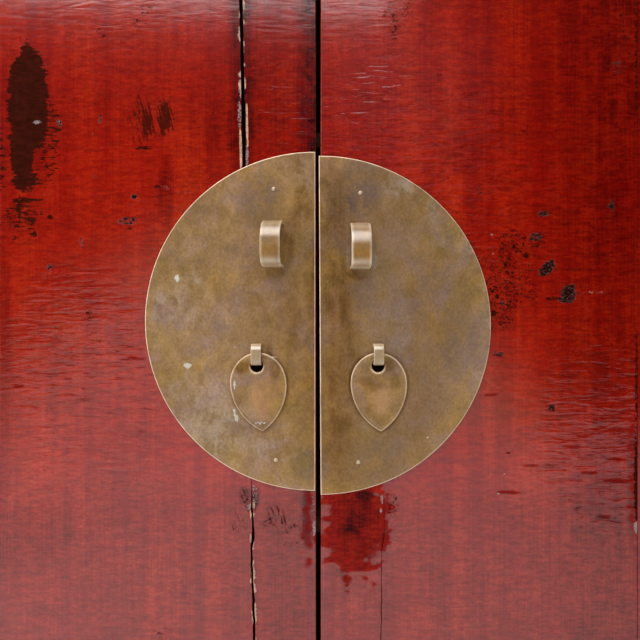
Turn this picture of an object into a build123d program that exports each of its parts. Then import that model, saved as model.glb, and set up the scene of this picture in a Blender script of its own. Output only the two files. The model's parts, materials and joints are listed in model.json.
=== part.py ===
from build123d import *

import os
from math import cos, radians, sin, sqrt

# A standing cabinet with two lacquered doors and a round brass face plate, in millimetres.
# The doors face -Y, +X is to the right as one faces them, +Z is up, and the origin is on the
# floor under the middle of the case.
# The frame is pegged together from posts and rails whose tenons are cut into the posts, the
# panels float in grooves, and each door turns on wooden pintles of its own hinge stile.

LEFT, RIGHT = -1, 1
FRONT, BACK = -1, 1
SIDE_NAMES = {LEFT: "left", RIGHT: "right"}
END_NAMES = {FRONT: "front", BACK: "back"}

# ---- case: posts and rails ----
CASE_W = 1015.0  # over the outer faces of the posts
CASE_D = 500.0  # over the front and back faces of the posts
CASE_H = 1830.0  # floor to the upper face of the top
POST_W = 60.0  # post, across the cabinet
POST_D = 55.0  # post, front to back
POST_ROUND = 6.0  # rounding of the post's outer edge
RAIL_D = 50.0  # front rails, front to back
SIDE_RAIL_W = 40.0  # side rails, across the cabinet
BACK_RAIL_D = 35.0  # back rails, front to back
HEAD_RAIL_H = 55.0  # front, side and back rails under the top
SILL_H = 45.0  # rail under the doors
BOTTOM_RAIL_H = 40.0  # lowest rails
BOTTOM_RAIL_Z = 150.0  # underside of the lowest rails
SILL_TOP_Z = 375.0  # upper face of the rail under the doors
STOP_LIP_H = 8.0  # lip behind a door's top and bottom edge that stops it
STOP_GAP = 0.5  # between a closed door and its stop
TENON_INSET = 14.0  # outer face of a rail to its tenon
TENON_T = 14.0
TENON_WALL = 2.0  # wood left between two mortises or a mortise and a groove

# ---- case: top ----
TOP_T = 40.0
TOP_OVERHANG = 33.0  # beyond the posts on all four sides
TOP_FRAME_W = 85.0  # mitred frame member
TOP_LOWER_ROUND = 14.0
TOP_UPPER_ROUND = 7.0
TOP_PANEL_T = 16.0
TOP_PANEL_SINK = 1.0  # panel's face below the frame's face
POST_STUB = 20.0  # stub tenon of a post in the top
POST_STUB_SHOULDER = 14.0

# ---- case: panels, aprons, floor and shelves ----
PANEL_T = 10.0
PANEL_SINK = 6.0  # side, back and skirt panels, below the faces of the posts
TONGUE = 8.0  # panel edge in its groove
MUNTIN_W = 60.0
APRON_T = 16.0
APRON_SINK = 4.0
APRON_H = 42.0  # at mid span
BRACKET_DROP = 58.0  # how far the apron's ends run down the posts below mid span
BRACKET_TOE = 16.0
BRACKET_W = 78.0
CUSP_W = 34.0
CUSP_RISE = 10.0
FLOOR_T = 16.0
FLOOR_LAP = 14.0  # floor board lying on the rails
FLOOR_GAP = 1.0  # between the floor board and the posts
SHELF_T = 18.0
SHELF_TOP_Z = (812.0, 1288.0)
SHELF_SETBACK = 7.0  # shelf's front edge behind the doors
SHELF_GAP = 1.0  # between a shelf and the posts
BEARER_W = 22.0
BEARER_H = 25.0

# ---- doors ----
DOOR_T = 30.0
DOOR_SINK = 3.0  # door's face behind the posts' front face
DOOR_END_GAP = 2.0  # above and below a door
HINGE_GAP = 2.0  # between a door and its post
MEETING_GAP = 5.6  # between the two doors
DOOR_RAIL_H = 68.0
HINGE_STILE_W = 68.0
MEETING_JOINT_X = {LEFT: 83.5, RIGHT: 82.0}  # cabinet's middle to the stile and panel joint
JOINT_LEAN = 0.021  # how far that joint leans out for each unit of height
DOOR_PANEL_T = 12.0
DOOR_TONGUE = 6.0  # panel edge in its groove
DOOR_TONGUE_T = 6.0
DOOR_TONGUE_INSET = 3.0  # door's face to the tongue
DOOR_GROOVE_ROOM = 0.5  # beyond the tongue's edge
DOOR_TENON_T = 10.0
DOOR_TENON_INSET = 11.0  # door's face to the tenon
DOOR_TENON_L = 36.0
DOOR_TENON_SHOULDER = 14.0
BATTEN_T = 14.0
BATTEN_H = 45.0
BATTEN_Z = (790.0, 1320.0)  # mid height
PINTLE_R = 9.0
PINTLE_PLAY = 0.1  # radial, in its socket
PINTLE_END_GAP = 0.3
LOWER_PINTLE_L = 14.0  # below the door's edge
UPPER_PINTLE_L = 22.0  # above the door's edge

# ---- brass: face plate ----
MEDALLION_R = 200.0
PLATE_Z = 1055.0  # middle of the left half
PLATE_T = 2.0
PLATE_BEVEL = 0.7
PLATE_CENTRE_X = {LEFT: -4.6, RIGHT: 3.8}
PLATE_DROP = {LEFT: 0.0, RIGHT: 4.7}  # the right half sits a little lower
PLATE_EDGE_X = {LEFT: -3.5, RIGHT: 1.6}  # straight edge at the middle of the plate
PLATE_EDGE_LEAN = {LEFT: 0.0, RIGHT: -0.0055}

# ---- brass: lock loops, pull staples, pulls and nails ----
STRAP_T = 2.8
TONGUE_CLINCH = 12.0  # end bent over behind the stile
LOOP_X = {LEFT: -52.0, RIGHT: 49.0}
LOOP_RISE = {LEFT: 90.6, RIGHT: 88.7}  # above the middle of the face plate
LOOP_W = 23.0
LOOP_H = 54.0
LOOP_OUT = 30.0  # stands out from the plate
LOOP_UPPER_R = 24.0
LOOP_LOWER_R = 15.0
LOOP_SKEW = {LEFT: -0.11, RIGHT: 0.02}  # sideways lean for each unit that it stands out
LOOP_TONGUE_W = 10.0
STAPLE_X = {LEFT: -72.4, RIGHT: 70.4}
STAPLE_DROP = 38.8  # below the middle of the face plate
STAPLE_W = 12.0
STAPLE_H = 25.0
STAPLE_OUT = 16.0
STAPLE_R = 7.0
STAPLE_TONGUE_W = 6.0
PULL_W = 66.6
PULL_H = 93.0
PULL_SHOULDER = 36.0  # top edge down to the widest place
PULL_T = 2.0
PULL_BEVEL = 0.6
PULL_HOLE_R = 7.5
PULL_HOLE_DROP = 15.5  # top edge to the hole's middle
PULL_SEAT = 0.3  # hole to the corners of the staple that carries it
PULL_BACK_GAP = 0.6  # pull to plate
PULL_TILT = {LEFT: 5.2, RIGHT: 2.6}  # degrees, tip towards +X
NAIL_HEAD_R = 2.6
NAIL_HEAD_H = 1.2
NAIL_SHANK_R = 1.1
NAIL_L = 16.0  # below the head
NAIL_X = {LEFT: (-52.7, -49.9), RIGHT: (49.6, 47.3)}  # upper nail, lower nail
NAIL_RISE = {LEFT: (156.2, -163.6), RIGHT: (151.5, -166.4)}  # above the middle of the plate

# ---- places that follow from the sizes ----
half_w = CASE_W / 2
half_d = CASE_D / 2
post_in_x = half_w - POST_W  # inner faces of the posts
post_in_y = half_d - POST_D
post_top_z = CASE_H - TOP_T
head_z = post_top_z - HEAD_RAIL_H
sill_z = SILL_TOP_Z - SILL_H
bottom_rail_top_z = BOTTOM_RAIL_Z + BOTTOM_RAIL_H
tenon_back = TENON_INSET + TENON_T
front_tenon_l = POST_W - tenon_back - TENON_WALL
side_tenon_l = POST_D - tenon_back - TENON_WALL
tenon_shoulder = TONGUE + TENON_WALL
panel_out = PANEL_SINK + PANEL_T  # a panel's inner face below the posts' outer face
top_half_x = half_w + TOP_OVERHANG
top_half_y = half_d + TOP_OVERHANG

door_front_y = -half_d + DOOR_SINK
door_back_y = door_front_y + DOOR_T
door_z = (SILL_TOP_Z + DOOR_END_GAP, head_z - DOOR_END_GAP)
hinge_edge_x = post_in_x - HINGE_GAP
pivot_x = hinge_edge_x - DOOR_T / 2
pivot_y = door_front_y + DOOR_T / 2
hinge_joint_x = hinge_edge_x - HINGE_STILE_W
stop_y = door_back_y + STOP_GAP
plate_front_y = door_front_y - PLATE_T
shelf_front_y = door_back_y + SHELF_SETBACK

loop_z = {side: PLATE_Z + rise for side, rise in LOOP_RISE.items()}
staple_z = PLATE_Z - STAPLE_DROP
staple_foot_z = staple_z - STAPLE_H / 2 + STRAP_T  # upper face of a staple's lower leg
hole_reach = sqrt((PULL_HOLE_R - PULL_SEAT) ** 2 - (STAPLE_W / 2) ** 2)
pull_hole_z = staple_foot_z - hole_reach
pull_top_z = pull_hole_z + PULL_HOLE_DROP
pull_back_y = plate_front_y - PULL_BACK_GAP


# ---- helpers ----
def span(side, near, far):
    """Range between two distances from the middle plane, on one side of it."""
    return tuple(sorted((side * near, side * far)))


def block(x_range, y_range, z_range, mode=Mode.ADD):
    """Box between three ranges, combined with the part being built."""
    ranges = (x_range, y_range, z_range)
    with Locations(tuple((low + high) / 2 for low, high in ranges)):
        Box(*(high - low for low, high in ranges), mode=mode)


def upright_slab(points, y_range, mode=Mode.ADD):
    """Slab with a polygon for its front face, given as (x, z) points."""
    with BuildSketch(Plane.XZ.offset(-y_range[1])) as face:
        with BuildLine():
            Polyline(*points, close=True)
        make_face()
    extrude(face.sketch, amount=y_range[1] - y_range[0], mode=mode)


def upright_rod(x, z, radius, y_range, mode=Mode.ADD):
    """Round rod along Y."""
    with BuildSketch(Plane.XZ.offset(-y_range[1])) as disc:
        with Locations((x, z)):
            Circle(radius)
    extrude(disc.sketch, amount=y_range[1] - y_range[0], mode=mode)


def standing_rod(x, y, radius, z_range, mode=Mode.ADD):
    """Round rod along Z."""
    with BuildSketch(Plane.XY.offset(z_range[0])) as disc:
        with Locations((x, y)):
            Circle(radius)
    extrude(disc.sketch, amount=z_range[1] - z_range[0], mode=mode)


def bent_strap(points, radii, width, x):
    """Strap bent along a line of (y, z) points through the middle of its thickness."""
    with BuildSketch(Plane.YZ.offset(x - width / 2)) as section:
        with BuildLine():
            FilletPolyline(*points, radius=radii)
        trace(line_width=STRAP_T)
    extrude(section.sketch, amount=width)


def keep(builder, name):
    """Label a finished piece and write it under its name."""
    builder.part.label = name
    export_step(builder.part, f"parts/{name}.step")


# ---- case frame ----
def front_or_back_y(end, inset, thickness):
    """Y range that starts inset from the outer face of the posts."""
    return span(end, half_d - inset - thickness, half_d - inset)


def rail_z(level):
    """Z range of the rails that run all round the case."""
    return {
        "upper": (head_z, post_top_z),
        "lower": (BOTTOM_RAIL_Z, bottom_rail_top_z),
    }[level]


def inside(z_range):
    """Height of a rail's tenon."""
    return (z_range[0] + tenon_shoulder, z_range[1] - tenon_shoulder)


sill_range = (sill_z, SILL_TOP_Z)
FRONT_RAIL_HEIGHTS = {
    FRONT: (rail_z("upper"), sill_range, rail_z("lower")),
    BACK: (rail_z("upper"), rail_z("lower")),
}


def end_tenon(side, end, z_range, mode=Mode.ADD):
    """Tenon of a front or back rail in the post on one side."""
    block(
        span(side, post_in_x, post_in_x + front_tenon_l),
        front_or_back_y(end, TENON_INSET, TENON_T),
        inside(z_range),
        mode,
    )


def side_tenon(side, end, z_range, mode=Mode.ADD):
    """Tenon of a side rail in the front or back post."""
    block(
        span(side, half_w - tenon_back, half_w - TENON_INSET),
        span(end, post_in_y, post_in_y + side_tenon_l),
        inside(z_range),
        mode,
    )


def post_stub(side, end, mode=Mode.ADD):
    """Stub tenon on top of a post."""
    block(
        span(side, post_in_x + POST_STUB_SHOULDER, half_w - POST_STUB_SHOULDER),
        span(end, post_in_y + POST_STUB_SHOULDER, half_d - POST_STUB_SHOULDER),
        (post_top_z, post_top_z + POST_STUB),
        mode,
    )


def side_panel_slab(side, margin, mode=Mode.ADD):
    """Slab that fills one side between posts and rails and reaches a margin beyond them."""
    block(
        span(side, half_w - panel_out, half_w - PANEL_SINK),
        (-post_in_y - margin, post_in_y + margin),
        (bottom_rail_top_z - margin, head_z + margin),
        mode,
    )


def back_panel_slab(side, margin, mode=Mode.ADD):
    """Slab that fills half of the back between post, muntin and rails."""
    block(
        span(side, MUNTIN_W / 2 - margin, post_in_x + margin),
        front_or_back_y(BACK, PANEL_SINK, PANEL_T),
        (bottom_rail_top_z - margin, head_z + margin),
        mode,
    )


def skirt_panel_slab(side, margin, mode=Mode.ADD):
    """Slab that fills half of the front under the doors."""
    block(
        span(side, MUNTIN_W / 2 - margin, post_in_x + margin),
        front_or_back_y(FRONT, PANEL_SINK, PANEL_T),
        (bottom_rail_top_z - margin, sill_z + margin),
        mode,
    )


def make_post(side, end):
    with BuildPart() as post:
        block(
            span(side, post_in_x, half_w),
            span(end, post_in_y, half_d),
            (0, post_top_z),
        )
        uprights = post.edges().filter_by(Axis.Z)
        outer = uprights.sort_by_distance((side * half_w, end * half_d, post_top_z / 2))[0]
        fillet(outer, radius=POST_ROUND)
        post_stub(side, end)
        for z_range in FRONT_RAIL_HEIGHTS[end]:
            end_tenon(side, end, z_range, Mode.SUBTRACT)
        for level in ("upper", "lower"):
            side_tenon(side, end, rail_z(level), Mode.SUBTRACT)
        side_panel_slab(side, TONGUE, Mode.SUBTRACT)
        if end == FRONT:
            skirt_panel_slab(side, TONGUE, Mode.SUBTRACT)
        else:
            back_panel_slab(side, TONGUE, Mode.SUBTRACT)
    return post


def make_side_rail(side, level):
    with BuildPart() as rail:
        block(
            span(side, half_w - SIDE_RAIL_W, half_w),
            (-post_in_y, post_in_y),
            rail_z(level),
        )
        side_panel_slab(side, TONGUE, Mode.SUBTRACT)
        for end in (FRONT, BACK):
            side_tenon(side, end, rail_z(level))
    return rail


def make_side_panel(side):
    with BuildPart() as panel:
        side_panel_slab(side, TONGUE)
    return panel


def muntin_stub(end, z, height, mode=Mode.ADD):
    """Tongue on a muntin's end, as thick as the panels and in line with them."""
    block(
        (-MUNTIN_W / 2, MUNTIN_W / 2),
        front_or_back_y(end, PANEL_SINK, PANEL_T),
        (z - height, z + height),
        mode,
    )


def make_muntin(end, rail_d, z_range):
    """Short upright between two panels, from rail to rail and clear of the floor board."""
    depth = rail_d - FLOOR_LAP - FLOOR_GAP
    with BuildPart() as muntin:
        block((-MUNTIN_W / 2, MUNTIN_W / 2), front_or_back_y(end, 0, depth), z_range)
        for z in z_range:
            muntin_stub(end, z, TONGUE)
        for side in (LEFT, RIGHT):
            if end == FRONT:
                skirt_panel_slab(side, TONGUE, Mode.SUBTRACT)
            else:
                back_panel_slab(side, TONGUE, Mode.SUBTRACT)
    return muntin


def make_back_rail(level):
    with BuildPart() as rail:
        block(
            (-post_in_x, post_in_x),
            front_or_back_y(BACK, 0, BACK_RAIL_D),
            rail_z(level),
        )
        for side in (LEFT, RIGHT):
            end_tenon(side, BACK, rail_z(level))
            back_panel_slab(side, TONGUE, Mode.SUBTRACT)
        seat_z = head_z if level == "upper" else bottom_rail_top_z
        muntin_stub(BACK, seat_z, TONGUE, Mode.SUBTRACT)
    return rail


def pintle_socket(side, z_range):
    standing_rod(side * pivot_x, pivot_y, PINTLE_R + PINTLE_PLAY, z_range, Mode.SUBTRACT)


def make_door_rail_of_case(z_range, lip_z, socket_z):
    """Front rail above or below the doors, with the lip that stops them."""
    with BuildPart() as rail:
        block((-post_in_x, post_in_x), front_or_back_y(FRONT, 0, RAIL_D), z_range)
        block((-post_in_x, post_in_x), (stop_y, -half_d + RAIL_D), lip_z)
        for side in (LEFT, RIGHT):
            end_tenon(side, FRONT, z_range)
            pintle_socket(side, socket_z)
            skirt_panel_slab(side, TONGUE, Mode.SUBTRACT)
        muntin_stub(FRONT, sill_z, TONGUE, Mode.SUBTRACT)
    return rail


def make_bottom_rail():
    with BuildPart() as rail:
        block(
            (-post_in_x, post_in_x),
            front_or_back_y(FRONT, 0, RAIL_D),
            rail_z("lower"),
        )
        for side in (LEFT, RIGHT):
            end_tenon(side, FRONT, rail_z("lower"))
            skirt_panel_slab(side, TONGUE, Mode.SUBTRACT)
        muntin_stub(FRONT, bottom_rail_top_z, TONGUE, Mode.SUBTRACT)
    return rail


# ---- top ----
def top_panel_slab(margin, z_range, mode=Mode.ADD):
    reach_x = top_half_x - TOP_FRAME_W + margin
    reach_y = top_half_y - TOP_FRAME_W + margin
    block((-reach_x, reach_x), (-reach_y, reach_y), z_range, mode)


top_panel_z = (CASE_H - TOP_PANEL_SINK - TOP_PANEL_T, CASE_H - TOP_PANEL_SINK)
top_tongue_z = (top_panel_z[0] + TOP_PANEL_T / 4, top_panel_z[1] - TOP_PANEL_T / 4)


def make_top_member(corners, outer_plane):
    """Mitred member of the top's frame: corners in plan, and where its outer face lies."""
    axis, place = outer_plane
    with BuildPart() as member:
        with BuildSketch(Plane.XY.offset(post_top_z)) as plan:
            with BuildLine():
                Polyline(*corners, close=True)
            make_face()
        extrude(plan.sketch, amount=TOP_T)
        along = Axis.Y if axis == Axis.X else Axis.X
        outer = member.edges().filter_by(along).filter_by_position(axis, place, place)
        fillet(outer.sort_by(Axis.Z)[0], radius=TOP_LOWER_ROUND)
        outer = member.edges().filter_by(along).filter_by_position(axis, place, place)
        fillet(outer.sort_by(Axis.Z)[-1], radius=TOP_UPPER_ROUND)
        top_panel_slab(TONGUE, top_tongue_z, Mode.SUBTRACT)
        for side in (LEFT, RIGHT):
            for end in (FRONT, BACK):
                post_stub(side, end, Mode.SUBTRACT)
    return member


def make_top_long_member(end):
    near_x = top_half_x - TOP_FRAME_W
    near_y = top_half_y - TOP_FRAME_W
    corners = (
        (-top_half_x, end * top_half_y),
        (top_half_x, end * top_half_y),
        (near_x, end * near_y),
        (-near_x, end * near_y),
    )
    return make_top_member(corners, (Axis.Y, end * top_half_y))


def make_top_end_member(side):
    near_x = top_half_x - TOP_FRAME_W
    near_y = top_half_y - TOP_FRAME_W
    corners = (
        (side * top_half_x, -top_half_y),
        (side * top_half_x, top_half_y),
        (side * near_x, near_y),
        (side * near_x, -near_y),
    )
    return make_top_member(corners, (Axis.X, side * top_half_x))


def make_top_panel():
    with BuildPart() as panel:
        top_panel_slab(0, top_panel_z)
        top_panel_slab(TONGUE, top_tongue_z)
    return panel


# ---- aprons, floor and shelves ----
def apron_outline(plane, half_span):
    """Board under the lowest rail: a bracket, a cusp and a straight run on each side."""
    top = BOTTOM_RAIL_Z
    arch_z = top - APRON_H
    toe_z = arch_z - BRACKET_DROP
    toe_x = half_span - BRACKET_TOE
    bracket_x = half_span - BRACKET_W
    cusp_x = bracket_x - CUSP_W
    with BuildSketch(plane) as outline:
        with BuildLine():
            Polyline((0, top), (half_span, top), (half_span, toe_z), (toe_x, toe_z))
            RadiusArc((toe_x, toe_z), (bracket_x, arch_z), -BRACKET_W)
            RadiusArc((bracket_x, arch_z), (cusp_x, arch_z + CUSP_RISE), CUSP_W)
            Line((cusp_x, arch_z + CUSP_RISE), (0, arch_z + CUSP_RISE))
            mirror(about=Plane.YZ)
        make_face()
    return outline.sketch


def make_front_apron():
    front_y = -half_d + APRON_SINK
    plane = Plane.XZ.offset(-(front_y + APRON_T))
    with BuildPart() as apron:
        extrude(apron_outline(plane, post_in_x), amount=APRON_T)
    return apron


def make_side_apron(side):
    outer_x = half_w - APRON_SINK
    start = outer_x - APRON_T if side == RIGHT else -outer_x
    with BuildPart() as apron:
        extrude(apron_outline(Plane.YZ.offset(start), post_in_y), amount=APRON_T)
    return apron


def make_floor_board():
    """Board on the lowest rails, notched round the four posts."""
    reach_x = half_w - SIDE_RAIL_W + FLOOR_LAP
    front_y = half_d - RAIL_D + FLOOR_LAP
    back_y = half_d - BACK_RAIL_D + FLOOR_LAP
    z_range = (bottom_rail_top_z, bottom_rail_top_z + FLOOR_T)
    with BuildPart() as board:
        block((-reach_x, reach_x), (-front_y, back_y), z_range)
        for side in (LEFT, RIGHT):
            for end in (FRONT, BACK):
                block(
                    span(side, post_in_x - FLOOR_GAP, half_w),
                    span(end, post_in_y - FLOOR_GAP, half_d),
                    z_range,
                    Mode.SUBTRACT,
                )
    return board


shelf_back_y = half_d - BACK_RAIL_D - SHELF_GAP


def make_shelf(top_z):
    reach_x = post_in_x - SHELF_GAP
    with BuildPart() as shelf:
        block((-reach_x, reach_x), (shelf_front_y, shelf_back_y), (top_z - SHELF_T, top_z))
    return shelf


def make_bearers(side):
    """Bars on the inner faces of the posts, one under each shelf."""
    with BuildPart() as bearers:
        for top_z in SHELF_TOP_Z:
            under = top_z - SHELF_T
            block(
                span(side, post_in_x - BEARER_W, post_in_x),
                (shelf_front_y, shelf_back_y),
                (under - BEARER_H, under),
            )
    return bearers


# ---- doors ----
def joint_x(side, z):
    """Distance from the middle plane to the leaning joint of meeting stile and panel."""
    return MEETING_JOINT_X[side] + JOINT_LEAN * (z - PLATE_Z)


def door_field(side, z_range, grow=0.0):
    """Corners of the door's field between its stiles, grown all round by a margin."""
    low, high = z_range[0] - grow, z_range[1] + grow
    return [
        (side * (joint_x(side, low) - grow), low),
        (side * (hinge_joint_x + grow), low),
        (side * (hinge_joint_x + grow), high),
        (side * (joint_x(side, high) - grow), high),
    ]


door_panel_z = (door_z[0] + DOOR_RAIL_H, door_z[1] - DOOR_RAIL_H)
door_rail_z = {
    "lower": (door_z[0], door_panel_z[0]),
    "upper": (door_panel_z[1], door_z[1]),
}
tongue_front_y = door_front_y + DOOR_TONGUE_INSET
tongue_y = (tongue_front_y, tongue_front_y + DOOR_TONGUE_T)
tenon_y = (door_front_y + DOOR_TENON_INSET, door_front_y + DOOR_TENON_INSET + DOOR_TENON_T)
batten_y = (door_front_y + DOOR_PANEL_T, door_front_y + DOOR_PANEL_T + BATTEN_T)


def door_tenon_z(level):
    """Height of a door rail's tenons, clear of the panel's groove."""
    low, high = door_rail_z[level]
    return (low + DOOR_TENON_SHOULDER, high - DOOR_TENON_SHOULDER)


def meeting_tenon(side, level, mode=Mode.ADD):
    low, high = door_tenon_z(level)
    end_x = side * (joint_x(side, low) - DOOR_TENON_L)
    corners = (
        (side * joint_x(side, low), low),
        (end_x, low),
        (end_x, high),
        (side * joint_x(side, high), high),
    )
    upright_slab(corners, tenon_y, mode)


def hinge_tenon(side, level, mode=Mode.ADD):
    x_range = span(side, hinge_joint_x, hinge_joint_x + DOOR_TENON_L)
    block(x_range, tenon_y, door_tenon_z(level), mode)


def panel_groove(side):
    groove = door_field(side, door_panel_z, DOOR_TONGUE + DOOR_GROOVE_ROOM)
    upright_slab(groove, tongue_y, Mode.SUBTRACT)


def loop_leg_heights(side):
    """Middle of the upper and of the lower leg of a lock loop."""
    reach = (LOOP_H - STRAP_T) / 2
    return (loop_z[side] + reach, loop_z[side] - reach)


def staple_leg_heights():
    reach = (STAPLE_H - STRAP_T) / 2
    return (staple_z + reach, staple_z - reach)


def nail_places(side):
    """Where the two nails of a half plate go, as (x, z)."""
    return [(x, PLATE_Z + rise) for x, rise in zip(NAIL_X[side], NAIL_RISE[side])]


def strap_slots(side):
    """Slots for the tongues of the lock loop and of the pull's staple, and the nail holes."""
    tongues = [(LOOP_X[side], z, LOOP_TONGUE_W) for z in loop_leg_heights(side)]
    tongues += [(STAPLE_X[side], z, STAPLE_TONGUE_W) for z in staple_leg_heights()]
    for x, z, width in tongues:
        block(
            (x - width / 2, x + width / 2),
            (plate_front_y, door_back_y),
            (z - STRAP_T / 2, z + STRAP_T / 2),
            Mode.SUBTRACT,
        )
    for x, z in nail_places(side):
        nail_end_y = plate_front_y + NAIL_L
        upright_rod(x, z, NAIL_SHANK_R, (plate_front_y, nail_end_y), Mode.SUBTRACT)


def make_meeting_stile(side):
    low, high = door_z
    corners = (
        (side * MEETING_GAP / 2, low),
        (side * joint_x(side, low), low),
        (side * joint_x(side, high), high),
        (side * MEETING_GAP / 2, high),
    )
    with BuildPart() as stile:
        upright_slab(corners, (door_front_y, door_back_y))
        panel_groove(side)
        for level in door_rail_z:
            meeting_tenon(side, level, Mode.SUBTRACT)
        strap_slots(side)
    return stile


def make_hinge_stile(side):
    """Stile with a half-round outer edge, so that it turns inside its own thickness."""
    with BuildPart() as stile:
        block(span(side, hinge_joint_x, pivot_x), (door_front_y, door_back_y), door_z)
        standing_rod(side * pivot_x, pivot_y, DOOR_T / 2, door_z)
        panel_groove(side)
        for level in door_rail_z:
            hinge_tenon(side, level, Mode.SUBTRACT)
        standing_rod(
            side * pivot_x,
            pivot_y,
            PINTLE_R,
            (door_z[0] - LOWER_PINTLE_L, door_z[0]),
        )
        standing_rod(
            side * pivot_x,
            pivot_y,
            PINTLE_R,
            (door_z[1], door_z[1] + UPPER_PINTLE_L),
        )
    return stile


def make_door_rail(side, level):
    with BuildPart() as rail:
        upright_slab(door_field(side, door_rail_z[level]), (door_front_y, door_back_y))
        panel_groove(side)
        meeting_tenon(side, level)
        hinge_tenon(side, level)
    return rail


def make_door_panel(side):
    with BuildPart() as panel:
        panel_y = (door_front_y, door_front_y + DOOR_PANEL_T)
        upright_slab(door_field(side, door_panel_z), panel_y)
        upright_slab(door_field(side, door_panel_z, DOOR_TONGUE), tongue_y)
        strap_slots(side)
    return panel


def make_batten(side, z):
    z_range = (z - BATTEN_H / 2, z + BATTEN_H / 2)
    with BuildPart() as batten:
        upright_slab(door_field(side, z_range), batten_y)
    return batten


# ---- brass ----
def plate_edge_x(side, z):
    """The plate's straight edge at a height."""
    return PLATE_EDGE_X[side] + PLATE_EDGE_LEAN[side] * (z - PLATE_Z)


def make_half_plate(side):
    centre_z = PLATE_Z - PLATE_DROP[side]
    low, high = centre_z - 1.1 * MEDALLION_R, centre_z + 1.1 * MEDALLION_R
    far_x = side * 1.1 * MEDALLION_R
    half = [
        (plate_edge_x(side, low), low),
        (plate_edge_x(side, high), high),
        (far_x, high),
        (far_x, low),
    ]
    with BuildPart() as plate:
        with BuildSketch(Plane.XZ.offset(-door_front_y)):
            with Locations((PLATE_CENTRE_X[side], centre_z)):
                Circle(MEDALLION_R)
            with BuildLine():
                Polyline(*half, close=True)
            make_face(mode=Mode.INTERSECT)
        extrude(amount=PLATE_T)
        face = plate.faces().sort_by(Axis.Y)[0]
        chamfer(face.edges().filter_by(GeomType.CIRCLE), length=PLATE_BEVEL)
        strap_slots(side)
    return plate


def clinched_tongue(side, z, turn, width, x):
    """Tongue through plate and stile, bent over along the stile's back."""
    back_y = door_back_y + STRAP_T / 2
    bent_strap(
        [(plate_front_y, z), (back_y, z), (back_y, z + turn * TONGUE_CLINCH)],
        0,
        width,
        x,
    )


def make_lock_loop(side):
    """Broad strap bent to a loop, whose sides lean a little as it stands out."""
    upper_z, lower_z = loop_leg_heights(side)
    front_y = plate_front_y - LOOP_OUT + STRAP_T / 2
    bow = [
        (plate_front_y, upper_z),
        (front_y, upper_z),
        (front_y, lower_z),
        (plate_front_y, lower_z),
    ]
    near = LOOP_X[side] - LOOP_W / 2
    far = LOOP_X[side] + LOOP_W / 2
    lean = LOOP_SKEW[side] * LOOP_OUT
    plan_corners = (
        (near, plate_front_y),
        (far, plate_front_y),
        (far + lean, plate_front_y - LOOP_OUT),
        (near + lean, plate_front_y - LOOP_OUT),
    )
    radii = [LOOP_UPPER_R - STRAP_T / 2, LOOP_LOWER_R - STRAP_T / 2]
    with BuildPart() as loop:
        bent_strap(bow, radii, 2 * LOOP_W, LOOP_X[side])
        with BuildSketch(Plane.XY.offset(loop_z[side] - LOOP_H)) as plan:
            with BuildLine():
                Polyline(*plan_corners, close=True)
            make_face()
        extrude(plan.sketch, amount=2 * LOOP_H, mode=Mode.INTERSECT)
        clinched_tongue(side, upper_z, 1, LOOP_TONGUE_W, LOOP_X[side])
        clinched_tongue(side, lower_z, -1, LOOP_TONGUE_W, LOOP_X[side])
    return loop


def make_pull_staple(side):
    upper_z, lower_z = staple_leg_heights()
    front_y = plate_front_y - STAPLE_OUT + STRAP_T / 2
    bow = [
        (plate_front_y, upper_z),
        (front_y, upper_z),
        (front_y, lower_z),
        (plate_front_y, lower_z),
    ]
    with BuildPart() as staple:
        bent_strap(bow, STAPLE_R - STRAP_T / 2, STAPLE_W, STAPLE_X[side])
        clinched_tongue(side, upper_z, 1, STAPLE_TONGUE_W, STAPLE_X[side])
        clinched_tongue(side, lower_z, -1, STAPLE_TONGUE_W, STAPLE_X[side])
    return staple


def make_pull(side):
    """Drop-shaped pull that hangs in its staple by a round hole."""
    tilt = radians(PULL_TILT[side])
    hang = Plane(
        origin=(STAPLE_X[side], pull_back_y, pull_hole_z),
        x_dir=(cos(tilt), 0, sin(tilt)),
        z_dir=(0, -1, 0),
    )
    shoulder = PULL_HOLE_DROP - PULL_SHOULDER
    tip = PULL_HOLE_DROP - PULL_H
    half = PULL_W / 2
    with BuildPart() as pull:
        with BuildSketch(hang):
            with BuildLine():
                EllipticalCenterArc((0, shoulder), half, PULL_SHOULDER, arc_size=180)
                TangentArc((-half, shoulder), (0, tip), tangent=(0, -1))
                TangentArc((half, shoulder), (0, tip), tangent=(0, -1))
            make_face()
        extrude(amount=PULL_T)
        faces = pull.faces().sort_by(Axis.Y)
        chamfer(faces[0].edges() + faces[-1].edges(), length=PULL_BEVEL)
        with Locations(hang):
            Hole(PULL_HOLE_R)
    return pull


def make_nails(side):
    """Two nails that hold the half plate down."""
    with BuildPart() as nails:
        for x, z in nail_places(side):
            head_y = plate_front_y - NAIL_HEAD_H
            upright_rod(x, z, NAIL_HEAD_R, (head_y, plate_front_y))
            upright_rod(x, z, NAIL_SHANK_R, (plate_front_y, plate_front_y + NAIL_L))
        crowns = nails.edges().filter_by(GeomType.CIRCLE).group_by(Axis.Y)[0]
        fillet(crowns, radius=0.8 * NAIL_HEAD_H)
    return nails


# ---- all pieces ----
os.makedirs("parts", exist_ok=True)

for side, side_name in SIDE_NAMES.items():
    for end, end_name in END_NAMES.items():
        keep(make_post(side, end), f"{end_name}_{side_name}_post")
    keep(make_side_rail(side, "upper"), f"{side_name}_upper_rail")
    keep(make_side_rail(side, "lower"), f"{side_name}_lower_rail")
    keep(make_side_panel(side), f"{side_name}_side_panel")
    keep(make_side_apron(side), f"{side_name}_apron")
    keep(make_bearers(side), f"{side_name}_shelf_bearers")
    keep(make_top_end_member(side), f"top_{side_name}_member")

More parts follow.
